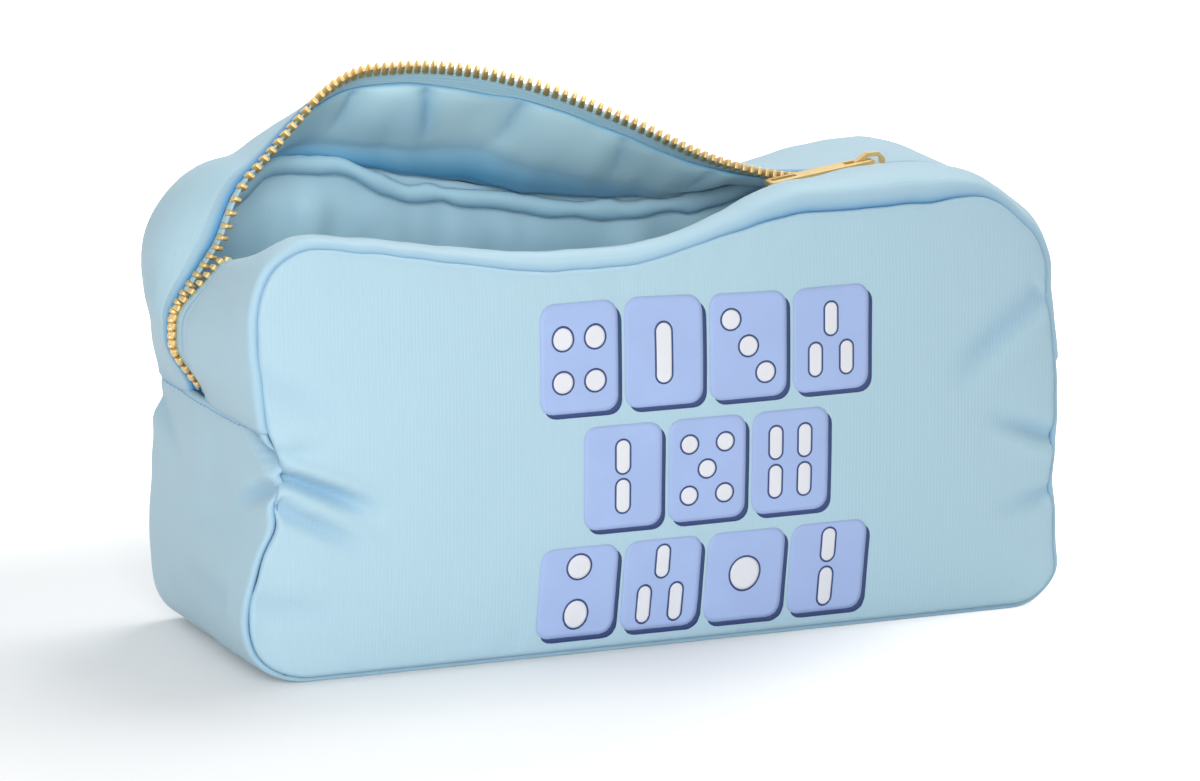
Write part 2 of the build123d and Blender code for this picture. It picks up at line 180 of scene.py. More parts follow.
def outline(s):
    """The outline at s, as x, z and its outward normal's x and z."""
    s = np.asarray(s, float)
    sign = np.where(s < 0, -1.0, 1.0)
    run = np.abs(s)
    straight = np.where(s < 0, LEFT_STRAIGHT, RIGHT_STRAIGHT)
    radius = HALF_WIDTH - straight
    side = HEIGHT - radius - BOTTOM_RADIUS
    past_turn = run - straight - radius * pi / 2
    top_turn = np.clip((run - straight) / radius, 0, pi / 2)
    down = np.clip(past_turn, 0, side)
    low_turn = np.clip((past_turn - side) / BOTTOM_RADIUS, 0, pi / 2)
    under = np.clip(past_turn - side - BOTTOM_RADIUS * pi / 2, 0, None)
    x = np.minimum(run, straight) + radius * np.sin(top_turn) - BOTTOM_RADIUS * (1 - np.cos(low_turn)) - under
    z = HEIGHT - radius * (1 - np.cos(top_turn)) - down - BOTTOM_RADIUS * np.sin(low_turn)
    turn = top_turn + low_turn
    return sign * x, z, sign * np.sin(turn), np.cos(turn)


FRONT_LOW, FRONT_SAG = 1.5, 11.0
BACK_SAG, BACK_LIFT, BACK_LIFT_AT = 9.0, 11.0, -90.0
LOW_RAMP = 15.0


def top_drop(side, s):
    """How far a panel's top seam sags below the closed case's top, lifted where the back lip pulls it."""
    if side < 0:
        ramp_ends = LOW_RAMP - LEFT_STRAIGHT, RIGHT_STRAIGHT - LOW_RAMP
        low = rise_and_fall(s, -LEFT_STRAIGHT, *ramp_ends, RIGHT_STRAIGHT)
        sag = rise_and_fall(s, -LEFT_STRAIGHT, -28.0, -18.0, SLIDER_NOSE - 30.0)
        return FRONT_LOW * low + FRONT_SAG * sag
    lifted = rise_and_fall(s, -LEFT_STRAIGHT, BACK_LIFT_AT, BACK_LIFT_AT, -22.0)
    return BACK_SAG * rise_and_fall(s, -45.0, 20.0, 35.0, RIGHT_STRAIGHT) - BACK_LIFT * lifted


SEAM_SPREAD = 1.7
SEAM_WOBBLES = {
    # s of each stray, how far outwards, and its half length
    -1: (
        (left_at(102), 2.4, 13.0),
        (left_at(62), -4.6, 9.0),
        (left_at(47), -3.2, 6.0),
        (left_at(20), 5.2, 16.0),
        (RIGHT_STRAIGHT + 18, -3.0, 13.0),
        (right_at(98), -3.2, 15.0),
        (right_at(38), -1.1, 8.0),
        (right_at(12), 0.9, 6.0),
    ),
    1: (
        (left_at(74), -2.2, 8.0),
        (left_at(30), 2.0, 18.0),
        (right_at(90), -1.5, 20.0),
        (right_at(45), 1.2, 14.0),
    ),
}


def seam_shift(side, s):
    """How far a panel's seam strays outwards from the case's outline."""
    shift = SEAM_SPREAD + 0.12 * np.sin(s / 2.1) * np.sin(s / 17.0) + 0.15 * np.sin(s / 5.3)
    for at, height, run in SEAM_WOBBLES[side]:
        shift = shift + height * hump(s, at, run)
    downwards = np.clip(-outline(s)[3], 0, 1)
    return shift * (1 - downwards**2)


def seam_line(side, s):
    """A panel's sewn seam, as x and z."""
    x, z, nx, nz = outline(s)
    off = seam_shift(side, s) - SEAM_DEPTH
    return x + nx * off, z + nz * off - top_drop(side, s)


ROLL_START = 5 * pi / 4
ROLL_CATCH_UP = 18.0


def roll_in(distance):
    """How far in from its seam a cloth has come, at a distance along it."""
    turn = np.minimum(distance / ROLL_RADIUS, ROLL_TURN)
    rolled = ROLL_SIDE + ROLL_RADIUS * np.cos(ROLL_START - turn) + np.maximum(distance - ROLL_LENGTH, 0)
    return rolled + (distance - rolled) * smooth((distance - ROLL_LENGTH) / ROLL_CATCH_UP)


def roll_up(distance):
    """How far above its seam a cloth has come, at a distance along it."""
    turn = np.minimum(distance / ROLL_RADIUS, ROLL_TURN)
    return ROLL_SIDE + ROLL_RADIUS * np.sin(ROLL_START - turn)


def across_band(at, span, rolled=True):
    """A place across a band between two seams: its gap to the nearer one, where it lies and its height."""
    gap = np.minimum(at, span - at)
    inwards, up = (roll_in(gap), roll_up(gap)) if rolled else (gap, SEAM_DEPTH + 0 * gap)
    return gap, np.where(at < span / 2, inwards, span - inwards), up


def seam_shade(distance):
    """How strongly painted shade, in a cloth's deep colour, darkens it near its seam."""
    return np.exp(-distance / SEAM_SHADE_REACH)


def between(last_near, gap, step):
    """Rows about a step apart in the gap after a row."""
    count = max(2, round(gap / step))
    return last_near + gap * np.arange(1, count) / count


def spaced(length, step):
    """Rows across a cloth: close together by its two seams, and a step apart between them."""
    edge = np.array(EDGE_ROWS)
    middle = between(edge[-1], length - 2 * edge[-1], step)
    return np.concatenate([edge, middle, (length - edge)[::-1]])


def waves(x, y, size, seed, octaves=2):
    """Soft seeded unevenness from -1 to 1 over two coordinates."""
    flat = zip(np.ravel(x) / size, np.ravel(y) / size)
    found = [noise.fractal((a, b, seed), 1.0, 2.0, octaves) for a, b in flat]
    return np.array(found).reshape(np.shape(x))


# ---- Blender helpers ----
def deselect():
    bpy.ops.object.select_all(action="DESELECT")


def choose(piece):
    deselect()
    piece.select_set(True)
    bpy.context.view_layer.objects.active = piece


def apply_modifier(piece, kind, **settings):
    """Adds a modifier with these settings and applies it."""
    choose(piece)
    made = piece.modifiers.new(kind.title(), kind)
    for name, value in settings.items():
        setattr(made, name, value)
    bpy.ops.object.modifier_apply(modifier=made.name)


def put(piece, places):
    """Moves a mesh's points to these places, given in millimetres."""
    piece.data.vertices.foreach_set("co", (np.asarray(places) * MM).astype(np.float32).ravel())
    piece.data.update()


def point_values(piece, name, values):
    """Stores a number on each point of a mesh."""
    layer = piece.data.attributes.new(name, "FLOAT", "POINT")
    layer.data.foreach_set("value", np.asarray(values, np.float32).ravel())


def read_values(piece, name):
    values = np.zeros(len(piece.data.vertices), np.float32)
    piece.data.attributes[name].data.foreach_get("value", values)
    return values.astype(float)


def cloth(name, columns, rows, surface, outwards, thickness):
    """A sheet of cloth: surface(a, b) gives places, texture places and point values for its rows and columns.

    outwards is a point in millimetres that the finished side faces away from.
    """
    deselect()
    bpy.ops.mesh.primitive_grid_add(x_subdivisions=len(columns) - 1, y_subdivisions=len(rows) - 1, size=1)
    piece = bpy.context.object
    piece.name = piece.data.name = name
    flat = np.zeros(len(piece.data.vertices) * 3)
    piece.data.vertices.foreach_get("co", flat)
    flat = flat.reshape(-1, 3) + 0.5
    i = np.rint(flat[:, 0] * (len(columns) - 1)).astype(int)
    j = np.rint(flat[:, 1] * (len(rows) - 1)).astype(int)
    places, texture, values = surface(np.asarray(columns)[i], np.asarray(rows)[j])
    put(piece, places)
    corner_points = np.zeros(len(piece.data.loops), int)
    piece.data.loops.foreach_get("vertex_index", corner_points)
    piece.data.uv_layers[0].data.foreach_set("uv", (texture[corner_points] * MM).ravel())
    for value_name, numbers in values.items():
        point_values(piece, value_name, numbers)
    middle = piece.data.polygons[len(piece.data.polygons) // 2 + len(columns) // 2]
    if (middle.center / MM - Vector(outwards)).dot(middle.normal) < 0:
        piece.data.flip_normals()
    apply_modifier(piece, "SOLIDIFY", thickness=thickness * MM, offset=-1.0, use_quality_normals=True)
    bpy.ops.object.shade_smooth()
    return piece


def dress(piece, material, slot, body=None, *replaces):
    """Gives a piece its material, lets it ride on a body when one is given, and hides the nodes it stands
    for.
    """
    piece.data.materials.clear()
    piece.data.materials.append(materials()[material])
    if body:
        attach(piece, body)
    if replaces:
        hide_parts(*replaces)


def joined(pieces, name):
    """Joins pieces into one."""
    deselect()
    for piece in pieces:
        piece.select_set(True)
    bpy.context.view_layer.objects.active = pieces[0]
    bpy.ops.object.join()
    whole = bpy.context.object
    whole.name = whole.data.name = name
    return whole


# ---- materials ----
def rgb(code):
    """A six-digit colour code as scene-linear numbers."""
    shares = [int(code[i : i + 2], 16) / 255 for i in (0, 2, 4)]
    return tuple(s / 12.92 if s <= 0.04045 else ((s + 0.055) / 1.055) ** 2.4 for s in shares)


def fill(tree, made, inputs):
    """Sets a node's inputs, each to a number, a colour or another node's output."""
    for name, value in inputs.items():
        socket = made.inputs[int(name[1:]) if name[0] == "_" else name.replace("_", " ")]
        if isinstance(value, bpy.types.NodeSocket):
            tree.links.new(value, socket)
        elif socket.type == "RGBA":
            socket.default_value = (*value, 1.0)
        else:
            socket.default_value = value


def node(tree, kind, settings=(), **inputs):
    """Adds a shader node."""
    made = tree.nodes.new(kind)
    for name, value in dict(settings).items():
        setattr(made, name, value)
    fill(tree, made, inputs)
    return made


def maths(operation, first, second, third=0.0):
    """A worked-out number, in the first one's tree."""
    numbers = {"_0": first, "_1": second, "_2": third}
    return node(first.id_data, "ShaderNodeMath", {"operation": operation}, **numbers).outputs[0]


def times(first, second):
    return maths("MULTIPLY", first, second)


def plus(first, second):
    return maths("ADD", first, second)


def ripple(coordinate, pitch):
    """A sine wave along a coordinate in metres."""
    return maths("SINE", times(coordinate, tau / pitch), 0.0)


def mixed(share, first, second):
    """A colour between two others."""
    made = node(share.id_data, "ShaderNodeMix", {"data_type": "RGBA"}, _0=share, _6=first, _7=second)
    return made.outputs[2]


def shades(share, colour, darker, lighter):
    """A colour that goes from a darker to a lighter tone of itself."""
    return mixed(share, tuple(c * darker for c in colour), tuple(min(1.0, c * lighter) for c in colour))


def shader(name, **sockets):
    """A material with one principled shader, its tree, that shader and its coordinates."""
    material = bpy.data.materials.new(name)
    material.use_nodes = True
    tree = material.node_tree
    principled = tree.nodes["Principled BSDF"]
    fill(tree, principled, sockets)
    return material, tree, principled, node(tree, "ShaderNodeTexCoord").outputs


def surface_relief(tree, principled, tint, height, strength, depth):
    """Gives a shader its colour and its small relief."""
    relief = node(tree, "ShaderNodeBump", Strength=strength, Distance=depth, Height=height)
    fill(tree, principled, {"Base Color": tint, "Normal": relief.outputs[0]})


def mottled(tree, coordinate, scale, detail=3.0):
    return node(tree, "ShaderNodeTexNoise", Vector=coordinate, Scale=scale, Detail=detail).outputs[0]


def woven_material(name, colour, deep, rib_pitch, weave_pitch, bump, **finish):
    """Woven cloth with fine ribs along its length, with painted shade in its deep colour where its seam point
    value is high.
    """
    material, tree, principled, places = shader(name, Sheen_Roughness=0.5, **finish)
    place = places["UV"]
    across, along, _ = node(tree, "ShaderNodeSeparateXYZ", Vector=place).outputs
    rib = ripple(across, rib_pitch)
    weave = times(ripple(along, weave_pitch), ripple(across, weave_pitch))
    streaks = node(tree, "ShaderNodeMapping", Vector=place, Scale=(900.0, 30.0, 1.0)).outputs[0]
    slub = mottled(tree, streaks, 1.0, 2.0)
    tone = plus(times(mottled(tree, place, 22.0), 0.10), times(rib, 0.008))
    ground = shades(plus(plus(tone, times(slub, 0.05)), 0.35), colour, 0.84, 1.10)
    # the seam point value is the share of painted shade, in the deep colour, laid over the ground colour
    seam = node(tree, "ShaderNodeAttribute", {"attribute_name": "seam"}).outputs["Fac"]
    height = plus(plus(times(rib, 0.22), times(weave, 0.3)), times(slub, 0.5))
    surface_relief(tree, principled, mixed(seam, ground, deep), height, bump, 0.0002)
    return material


def metal_material(name, colour, rough):
    """Polished plated metal with fine scratches."""
    material, tree, principled, places = shader(name, Base_Color=colour, Metallic=0.8)
    wear = mottled(tree, places["Object"], 900.0, 4.0)
    fill(tree, principled, {"Roughness": maths("MULTIPLY_ADD", wear, 0.18, rough)})
    surface_relief(tree, principled, shades(wear, colour, 0.82, 1.12), wear, 0.12, 0.0001)
    return material


def ink_material(name, colour, weave_pitch):
    """Flat printed ink that takes the cloth's weave."""
    material, tree, principled, places = shader(name, Roughness=0.62)
    place = places["Object"]
    across, _, up = node(tree, "ShaderNodeSeparateXYZ", Vector=place).outputs
    warp = ripple(across, weave_pitch)
    tone = maths("MULTIPLY_ADD", warp, 0.12, mottled(tree, place, 60.0))
    weave = times(warp, ripple(up, weave_pitch))
    surface_relief(tree, principled, shades(tone, colour, 0.92, 1.06), weave, 0.25, 0.0001)
    return material


# ---- panels: rounded sheets between a loop of seam ----


def base_run(share):
    """s along the base, from its left corner's middle at 0 to its right one's at 1."""
    left_part = HALF_AROUND_LEFT + LEFT_LOW
    right_part = HALF_AROUND_RIGHT - RIGHT_LOW
    run = share * (left_part + right_part)
    return np.where(run < left_part, LEFT_LOW - run, HALF_AROUND_RIGHT - (run - left_part))


LOOP_POINTS = 420


def seam_loop(side):
    """Points all round a panel's seam."""
    left = np.linspace(-HALF_AROUND_LEFT, 0, LOOP_POINTS)
    right = np.linspace(0, HALF_AROUND_RIGHT, LOOP_POINTS)[1:-1]
    return np.stack(seam_line(side, np.concatenate([left, right])), 1)


def from_seam(side, x, z):
    """Each place's distance from the nearest point of the seam, and the direction away from that point."""
    loop = seam_loop(side)
    points = np.stack([np.ravel(x), np.ravel(z)], 1)
    gaps = np.linalg.norm(points[:, None, :] - loop[None, :, :], axis=2)
    nearest = loop[gaps.argmin(1)]
    distance = gaps.min(1)
    away = (points - nearest) / np.maximum(distance, 1e-6)[:, None]
    return distance.reshape(np.shape(x)), away


def panel_grid(side, u, v):
    """A place on the flat panel at shares u across and v up, as x and z."""
    top, low, left, right = (
        np.stack(seam_line(side, s), 1)
        for s in (
            LEFT_TOP + (RIGHT_TOP - LEFT_TOP) * u,
            base_run(u),
            LEFT_LOW + (LEFT_TOP - LEFT_LOW) * v,
            RIGHT_LOW + (RIGHT_TOP - RIGHT_LOW) * v,
        )
    )
    at_left_top, at_right_top, at_left_low, at_right_low = (
        np.array(seam_line(side, np.array(s))) for s in (LEFT_TOP, RIGHT_TOP, LEFT_LOW, RIGHT_LOW)
    )
    u, v = u[:, None], v[:, None]
    ruled = (1 - v) * low + v * top + (1 - u) * left + u * right
    across_low = (1 - u) * (1 - v) * at_left_low + u * (1 - v) * at_right_low
    return ruled - (across_low + (1 - u) * v * at_left_top + u * v * at_right_top)


def fold_mark(x, z, start, end, fade_in, fade_out):
    """How strongly a fold from start to end shows at each place, and how far above the fold that place is."""
    ax, az = start
    bx, bz = end
    length = sqrt((bx - ax) ** 2 + (bz - az) ** 2)
    ux, uz = (bx - ax) / length, (bz - az) / length
    along = (x - ax) * ux + (z - az) * uz
    above = (z - az) * ux - (x - ax) * uz
    return rise_and_fall(along, -fade_in, 0, length - fade_out, length), above


FRONT_FOLDS = (
    # start, end, ridge, its offset, its width, valley, its offset, its width
    ((-123, 66), (-86, 49), 1.9, 2.0, 2.4, 4.6, -1.9, 2.5),
    ((-117, 54), (-90, 36), 1.3, 2.6, 2.8, 2.6, -1.4, 2.8),
    ((-123, 68), (-102, 74), 0.8, 2.4, 3.0, 1.6, -2.2, 3.0),
    ((126, 47), (96, 60), 1.2, 1.8, 3.0, 2.4, -2.2, 2.8),
    ((126, 34), (100, 27), 0.9, 2.0, 3.0, 1.8, -2.2, 3.0),
    ((119, 92), (88, 66), 0.8, 3.0, 5.0, 1.8, -3.0, 5.0),
    ((-126, 96), (-96, 76), 0.4, 4.0, 6.0, 0.9, -3.0, 6.0),
    ((-127, 28), (-98, 22), 0.5, 2.5, 4.0, 0.9, -2.5, 4.0),
)
BACK_FOLDS = (
    ((123, 70), (80, 52), 1.0, 2.4, 4.0, 1.9, -2.6, 4.0),
    ((-123, 60), (-84, 48), 1.2, 2.0, 3.0, 2.2, -2.4, 3.0),
    ((32, 116), (12, 78), 0.8, 3.0, 5.0, 1.4, -3.0, 5.0),
    ((-96, 132), (-70, 86), 0.9, 3.0, 6.0, 1.6, -4.0, 7.0),
    ((-122, 26), (-92, 36), 0.6, 3.0, 5.0, 1.1, -3.0, 5.0),
    ((122, 22), (90, 32), 0.6, 3.0, 5.0, 1.1, -3.0, 5.0),
)


PANEL_FOLDS = {-1: FRONT_FOLDS, 1: BACK_FOLDS}
FOLD_FADE_IN, FOLD_FADE_OUT = 2.0, 22.0


def folds(x, z, listed):
    """How far the listed folds raise or sink the cloth at each place."""
    height = np.zeros(np.shape(x))
    for start, end, ridge, ridge_at, ridge_width, valley, valley_at, valley_width in listed:
        share, above = fold_mark(x, z, start, end, FOLD_FADE_IN, FOLD_FADE_OUT)
        height += share * ridge * hump(above, ridge_at, ridge_width)
        height -= share * valley * hump(above, valley_at, valley_width)
    return height


def rising(gap, reach):
    """How full a padded cloth is at a gap from its edge, from 0 to 1."""
    return 1 - np.exp(-np.maximum(gap, 0) / reach)


def crease_painted_shade(height):
    """How strongly painted shade, in the cloth's deep colour, darkens a fold's valley."""
    return 0.45 * np.clip(-height / 4.0, 0, 1)


def panel_height(side, x, z, distance, shape):
    """How far a panel's cloth stands out, past the plane of its seam."""
    reach = shape.crown_reach
    top = HEIGHT - top_drop(side, x)
    full = 1.0
    for gap in (x + HALF_WIDTH, HALF_WIDTH - x, z, top - z):
        full = full * rising(gap, reach)
    full = full * rising(distance, 4.0)
    height = roll_up(distance) + shape.panel_crown * full
    height += shape.fold_depth * folds(x, z, PANEL_FOLDS[side])
    ease = smooth((distance - 1.0) / 8.0)
    height += ease * 0.55 * waves(x, z, 46.0, 3.0 * side, 2)
    pull = np.exp(-distance / 9.0) * smooth((distance - 1.5) / 4.0)
    angle = np.arctan2(z - HEIGHT / 2, x)
    height += pull * 0.45 * waves(angle * 60, distance * 0.25, 7.0, 11.0 + side, 2)
    return height


PANEL_STEP = 1.3


def on_panel(side, flat, shape, lift=0.0):
    """Places on a panel's cloth for places on the flat panel, and their distances from the seam."""
    x, z = flat[:, 0], flat[:, 1]
    distance, away = from_seam(side, x, z)
    moved = flat + away * (roll_in(distance) - distance)[:, None]
    y = side * (SEAM_Y + panel_height(side, x, z, distance, shape) + lift)
    return np.stack([moved[:, 0], y, moved[:, 1]], 1), distance


def panel_cloth(side, shape):
    """A panel's columns, rows and surface."""

    def surface(u, v):
        flat = panel_grid(side, u, v)
        places, distance = on_panel(side, flat, shape)
        creases = folds(flat[:, 0], flat[:, 1], PANEL_FOLDS[side])
        # painted shade near the seam and in the folds' valleys
        return places, flat, {"seam": np.maximum(seam_shade(distance), crease_painted_shade(creases))}

    columns = spaced(2 * HALF_WIDTH, PANEL_STEP) / (2 * HALF_WIDTH)
    rows = spaced(HEIGHT, PANEL_STEP) / HEIGHT
    return columns, rows, surface


def painted_satin_shade(z):
    """How much painted shade the satin takes, stronger the lower it lies in the case."""
    return 0.22 + 0.38 * smooth((HEIGHT - 8.0 - z) / 60.0)


# ---- gusset: the band round the ends and the base ----
GUSSET_SPAN = 2 * SEAM_Y
DENT_REACH = 44.0
GUSSET_LEFT = HALF_AROUND_LEFT - JOINT_LEFT
GUSSET_RUN = GUSSET_LEFT + HALF_AROUND_RIGHT - JOINT_RIGHT


def gusset_s(run):
    """s at a distance round the gusset, from the left joint."""
    return np.where(run < GUSSET_LEFT, -JOINT_LEFT - run, HALF_AROUND_RIGHT - (run - GUSSET_LEFT))


GUSSET_FOLDS = (
    # as the panels' folds, with start and end as (y, z) on the left end
    ((-44, 63), (-22, 76), 1.2, -2.4, 2.6, 4.2, 1.2, 2.8),
    ((-44, 60), (-16, 50), 1.0, 2.4, 3.0, 3.0, -1.6, 3.0),
    ((43, 66), (14, 52), 0.6, 2.4, 3.4, 1.4, -2.0, 3.4),
    ((-30, 26), (10, 30), 0.5, 2.4, 5.0, 0.9, -2.6, 5.0),
)


def gusset_surface(depth, shape, rolled):
    """The gusset's surface at a depth below its outer face; the outer cloth rolls into its seams."""

    def surface(run, across):
        end_gap, run_in, up_end = across_band(run, GUSSET_RUN, rolled)
        seam_gap, y, up_seam = across_band(across, GUSSET_SPAN, rolled)
        y = y - SEAM_Y
        s = gusset_s(run_in)
        x, z, nx, nz = outline(s)
        wide = {-1: smooth(1 - across / GUSSET_SPAN), 1: smooth(across / GUSSET_SPAN)}
        narrow = {-1: smooth(1 - across / DENT_REACH), 1: smooth(1 - (GUSSET_SPAN - across) / DENT_REACH)}
        height = up_seam + up_end - 2 * SEAM_DEPTH - depth
        for side in (-1, 1):
            shift = seam_shift(side, s)
            height = height + shift * np.where(shift > 0, wide[side], narrow[side])
        upright = np.abs(nx) ** 2
        full = rising(across, 10.0) * rising(GUSSET_SPAN - across, 10.0)
        ends = rise_and_fall(z, 2.0, 24.0, JOINT_HEIGHT - 22.0, JOINT_HEIGHT + 4.0)
        height = height + shape.gusset_puff * upright * full * (0.35 + 0.65 * ends)
        height = height + upright * full * 0.9 * waves(y, z, 26.0, 6.0, 2)
        left = (x < 0) * upright
        creases = left * folds(y, z, GUSSET_FOLDS)
        height = height + shape.fold_depth * creases
        px, pz = x + nx * height, np.maximum(z + nz * height, depth)
        places = np.stack([px, y, pz], 1)
        # outer cloth: painted shade near its seams and hems and in fold valleys; lining: painted shade that
        # deepens lower in the case
        near = np.minimum(seam_gap, end_gap * 0.55)
        tint = np.maximum(seam_shade(near), crease_painted_shade(creases)) if rolled else painted_satin_shade(z)
        return places, np.stack([y, run], 1), {"seam": tint}

    return surface


# ---- lips ----
OPENING = {
    # q where a lip starts to fold open, is fully open from and to, and is closed again
    1: (-138.0, -65.0, -57.0, SLIDER_NOSE - 4.0),
    -1: (-128.0, -90.0, 0.0, SLIDER_NOSE - 2.0),
}
FOLD_LENGTH = {1: 11.0, -1: 9.0}
END_OFFSET, END_OFFSET_RUN = 11.5, 43.0
PULLED_OFFSET = 3.6


def opening(side, q):
    """The share of its full angle by which a lip is folded open."""
    return rise_and_fall(q, *OPENING[side])


def fold_share(side, across):
    """How much of the lip's turn a line across it takes."""
    return smooth((across - SEAM_IN) / (FOLD_LENGTH[side] - SEAM_IN))


def chain_offset(q):
    """How far back the chain lies."""
    at_end = smooth((-LEFT_STRAIGHT - q) / END_OFFSET_RUN)
    by_pull = rise_and_fall(q, SLIDER_NOSE - 66, SLIDER_NOSE - 36, SLIDER_NOSE - 14, SLIDER_NOSE - 1)
    return END_OFFSET * at_end + PULLED_OFFSET * by_pull


ROWS_MEET_FROM = SLIDER_NOSE + 5.0
ROWS_MEET_AT = SLIDER_NOSE + 10.5
SLIDER_TRAVEL = 173.0
ROWS_PART = -143.0, -134.0


def row_spread(q):
    """How far each row of teeth is held off the centre line by the slider, and at the left end."""
    closed = ROWS_MEET_FROM - SLIDER_TRAVEL, ROWS_MEET_AT - SLIDER_TRAVEL
    by_end = rise_and_fall(q, *ROWS_PART, *closed)
    by_slider = rise_and_fall(q, SLIDER_NOSE - 30.0, SLIDER_NOSE, ROWS_MEET_FROM, ROWS_MEET_AT)
    return POST_SPREAD * (by_end + by_slider)


END_PUFF = 8.5
DIP_DEPTH = 7.0
DIP_AT = -LEFT_STRAIGHT - 19.5
DIP_REACH = 18.7


def end_puff(q):
    """How far the middle of the lips swells outwards over the ends, and dips at the open end's corner."""
    straight = np.where(q < 0, LEFT_STRAIGHT, RIGHT_STRAIGHT)
    joint = np.where(q < 0, JOINT_LEFT, JOINT_RIGHT)
    puff = rise_and_fall(np.abs(q), straight, joint - 24.0, joint - 16.0, joint)
    dip = rise_and_fall(q, DIP_AT - DIP_REACH, DIP_AT - 1.0, DIP_AT + 1.0, DIP_AT + DIP_REACH)
    return END_PUFF * puff - DIP_DEPTH * dip


# each lip's fold line, as y and z, its whole turn and its body
HINGE = {1: (HALF_DEPTH, HEIGHT + 4.0), -1: (-HALF_DEPTH + 6.8, HEIGHT - 9.0)}
OPEN_ANGLE = {1: -radians(59.0), -1: -radians(95.0)}


def lip_place(side, q, across, depth, spread=1.0):
    """A place on a lip: across from its seam towards the zip, and depth below the outer face."""
    q, across, depth = np.broadcast_arrays(np.asarray(q, float), across, depth)
    x, z, nx, nz = outline(q)
    share = np.clip((across - SEAM_IN) / (HALF_DEPTH - SEAM_IN), 0, None)
    y = side * (STRIP_SPAN - across) + share * (chain_offset(q) + side * row_spread(q) * spread)
    sink = depth - end_puff(q) * share - seam_shift(side, q) * np.clip(1 - share, 0, 1) ** 2
    hinge_y, hinge_z = HINGE[side]
    turn = OPEN_ANGLE[side] * opening(side, q) * fold_share(side, across)
    dy = y - hinge_y
    dz = z - nz * sink - top_drop(side, q) * (1 - share) - hinge_z
    turned_y = dy * np.cos(turn) - dz * np.sin(turn)
    turned_z = dy * np.sin(turn) + dz * np.cos(turn)
    return np.stack([x - nx * sink, hinge_y + turned_y, hinge_z + turned_z], -1)


def lip_turn(side, q, across):
    """How much of the lip's own turn a place takes, from 0 at the seam to 1 at the zip."""
    return opening(side, q) * fold_share(side, across)


def on_lip(side, q, across, depth, run, seam, wave=0.0):
    """What a lip's surface gives cloth: its places, texture places and point values."""
    places = lip_place(side, q, across + wave, depth)
    return places, np.stack([across, run], 1), {"seam": seam, "turn": lip_turn(side, q, across)}


def follow_lip(piece):
    """Sets each point of a piece at its share in its turn value along a line, bakes the piece's transform
    into its points, and then puts the points back where they were.
    """
    share = read_values(piece, "turn")
    placed = np.zeros(len(share) * 3)
    piece.data.vertices.foreach_get("co", placed)
    inverse = 0.5 - np.sin(np.arcsin(1 - 2 * np.clip(share, 0, 1)) / 3)
    line = np.stack([inverse, 0 * inverse, 0 * inverse], 1)
    piece.data.vertices.foreach_set("co", line.astype(np.float32).ravel())
    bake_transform(piece)
    piece.data.vertices.foreach_set("co", placed.astype(np.float32))
    piece.data.update()


LIP_RUN = JOINT_LEFT + JOINT_RIGHT
STRIP_RUN = STRIP_SPAN - STRIP_EDGE - SEAM_IN


BACK_BULGE, FRONT_BULGE = 6.3, 6.4


def bulge(side, q, t):
    """How far a strip swells: at the back over the open corner, and at the front beside the slider."""
    share = np.clip(t / STRIP_RUN, 0, 1)
    if side > 0:
        return BACK_BULGE * rise_and_fall(q, -158.0, -126.0, -118.0, -84.0) * np.sin(pi * share) ** 0.8
    return FRONT_BULGE * rise_and_fall(q, 4.0, 44.0, 80.0, 116.0) * np.sin(pi * share**0.62) ** 1.2


def strip_surface(side, shape):
    """A zip strip's outer cloth, from its seam to its folded edge by the zip."""

    def surface(run, t):
        end_gap, q, up_end = across_band(run, LIP_RUN)
        q = q - JOINT_LEFT
        edge_gap = STRIP_RUN - t
        across = SEAM_IN + np.where(t < 30, roll_in(t), t)
        up = roll_up(t) + up_end - 2 * SEAM_DEPTH
        tuck = 0.9 * (1 - np.sqrt(np.clip(1 - (1 - np.minimum(edge_gap, 1.2) / 1.2) ** 2, 0, 1)))
        stitched = 0.28 * hump(edge_gap, STITCH_INSET, 0.6)
        stitched = stitched + 0.10 * hump(edge_gap, STITCH_INSET, 1.2) * np.sin(q * tau / 3.1)
        middle = smooth(t / 12.0) * smooth(edge_gap / 10.0)
        soft = middle * (shape.strip_puff + 0.8 * waves(q, t, 30.0, 7.0 * side, 2))
        edge_wave = 0.35 * smooth(1 - edge_gap / 8.0) * np.sin(q / 7.0 + side) * np.sin(q / 23.0)
        depth = tuck + stitched - up - soft - bulge(side, q, t)
        # painted shade by the seam, the joints at the ends and the folded edge by the zip
        near = np.minimum(np.minimum(t, end_gap * 0.55), edge_gap)
        return on_lip(side, q, across, depth, run, seam_shade(near), edge_wave)

    return surface


HEM_ROWS = (5.0, 4.2, 3.5, 3.0, 2.6, 2.2, 1.7, 1.2, 0.9, 0.6, 0.35, 0.15, 0.05, 0.0)


def strip_rows():
    """Rows across a strip, close together by its seam, its stitching and its folded edge."""
    edge = STRIP_RUN - np.array(HEM_ROWS)
    near = np.array(EDGE_ROWS)
    return np.concatenate([near, between(near[-1], edge[0] - near[-1], 1.8), edge])


# q and depth of each pleat
LINING_CREASES = ((-97.0, 1.0), (-71.0, 1.6), (-48.6, 1.9), (-20.5, 1.5), (9.0, 1.0), (38.0, 0.8))


def lining_creases(q, share):
    """Sharp pleats that run in from the satin's edge by the tape and fade towards the seam."""
    depth = 0 * q
    for number, (at, deep) in enumerate(LINING_CREASES):
        drift = (-1) ** number * 5.0 * (1 - share)
        depth = depth + deep * np.exp(-np.abs(q - at - drift) / 2.4) * smooth((share - 0.25) / 0.5)
    return depth


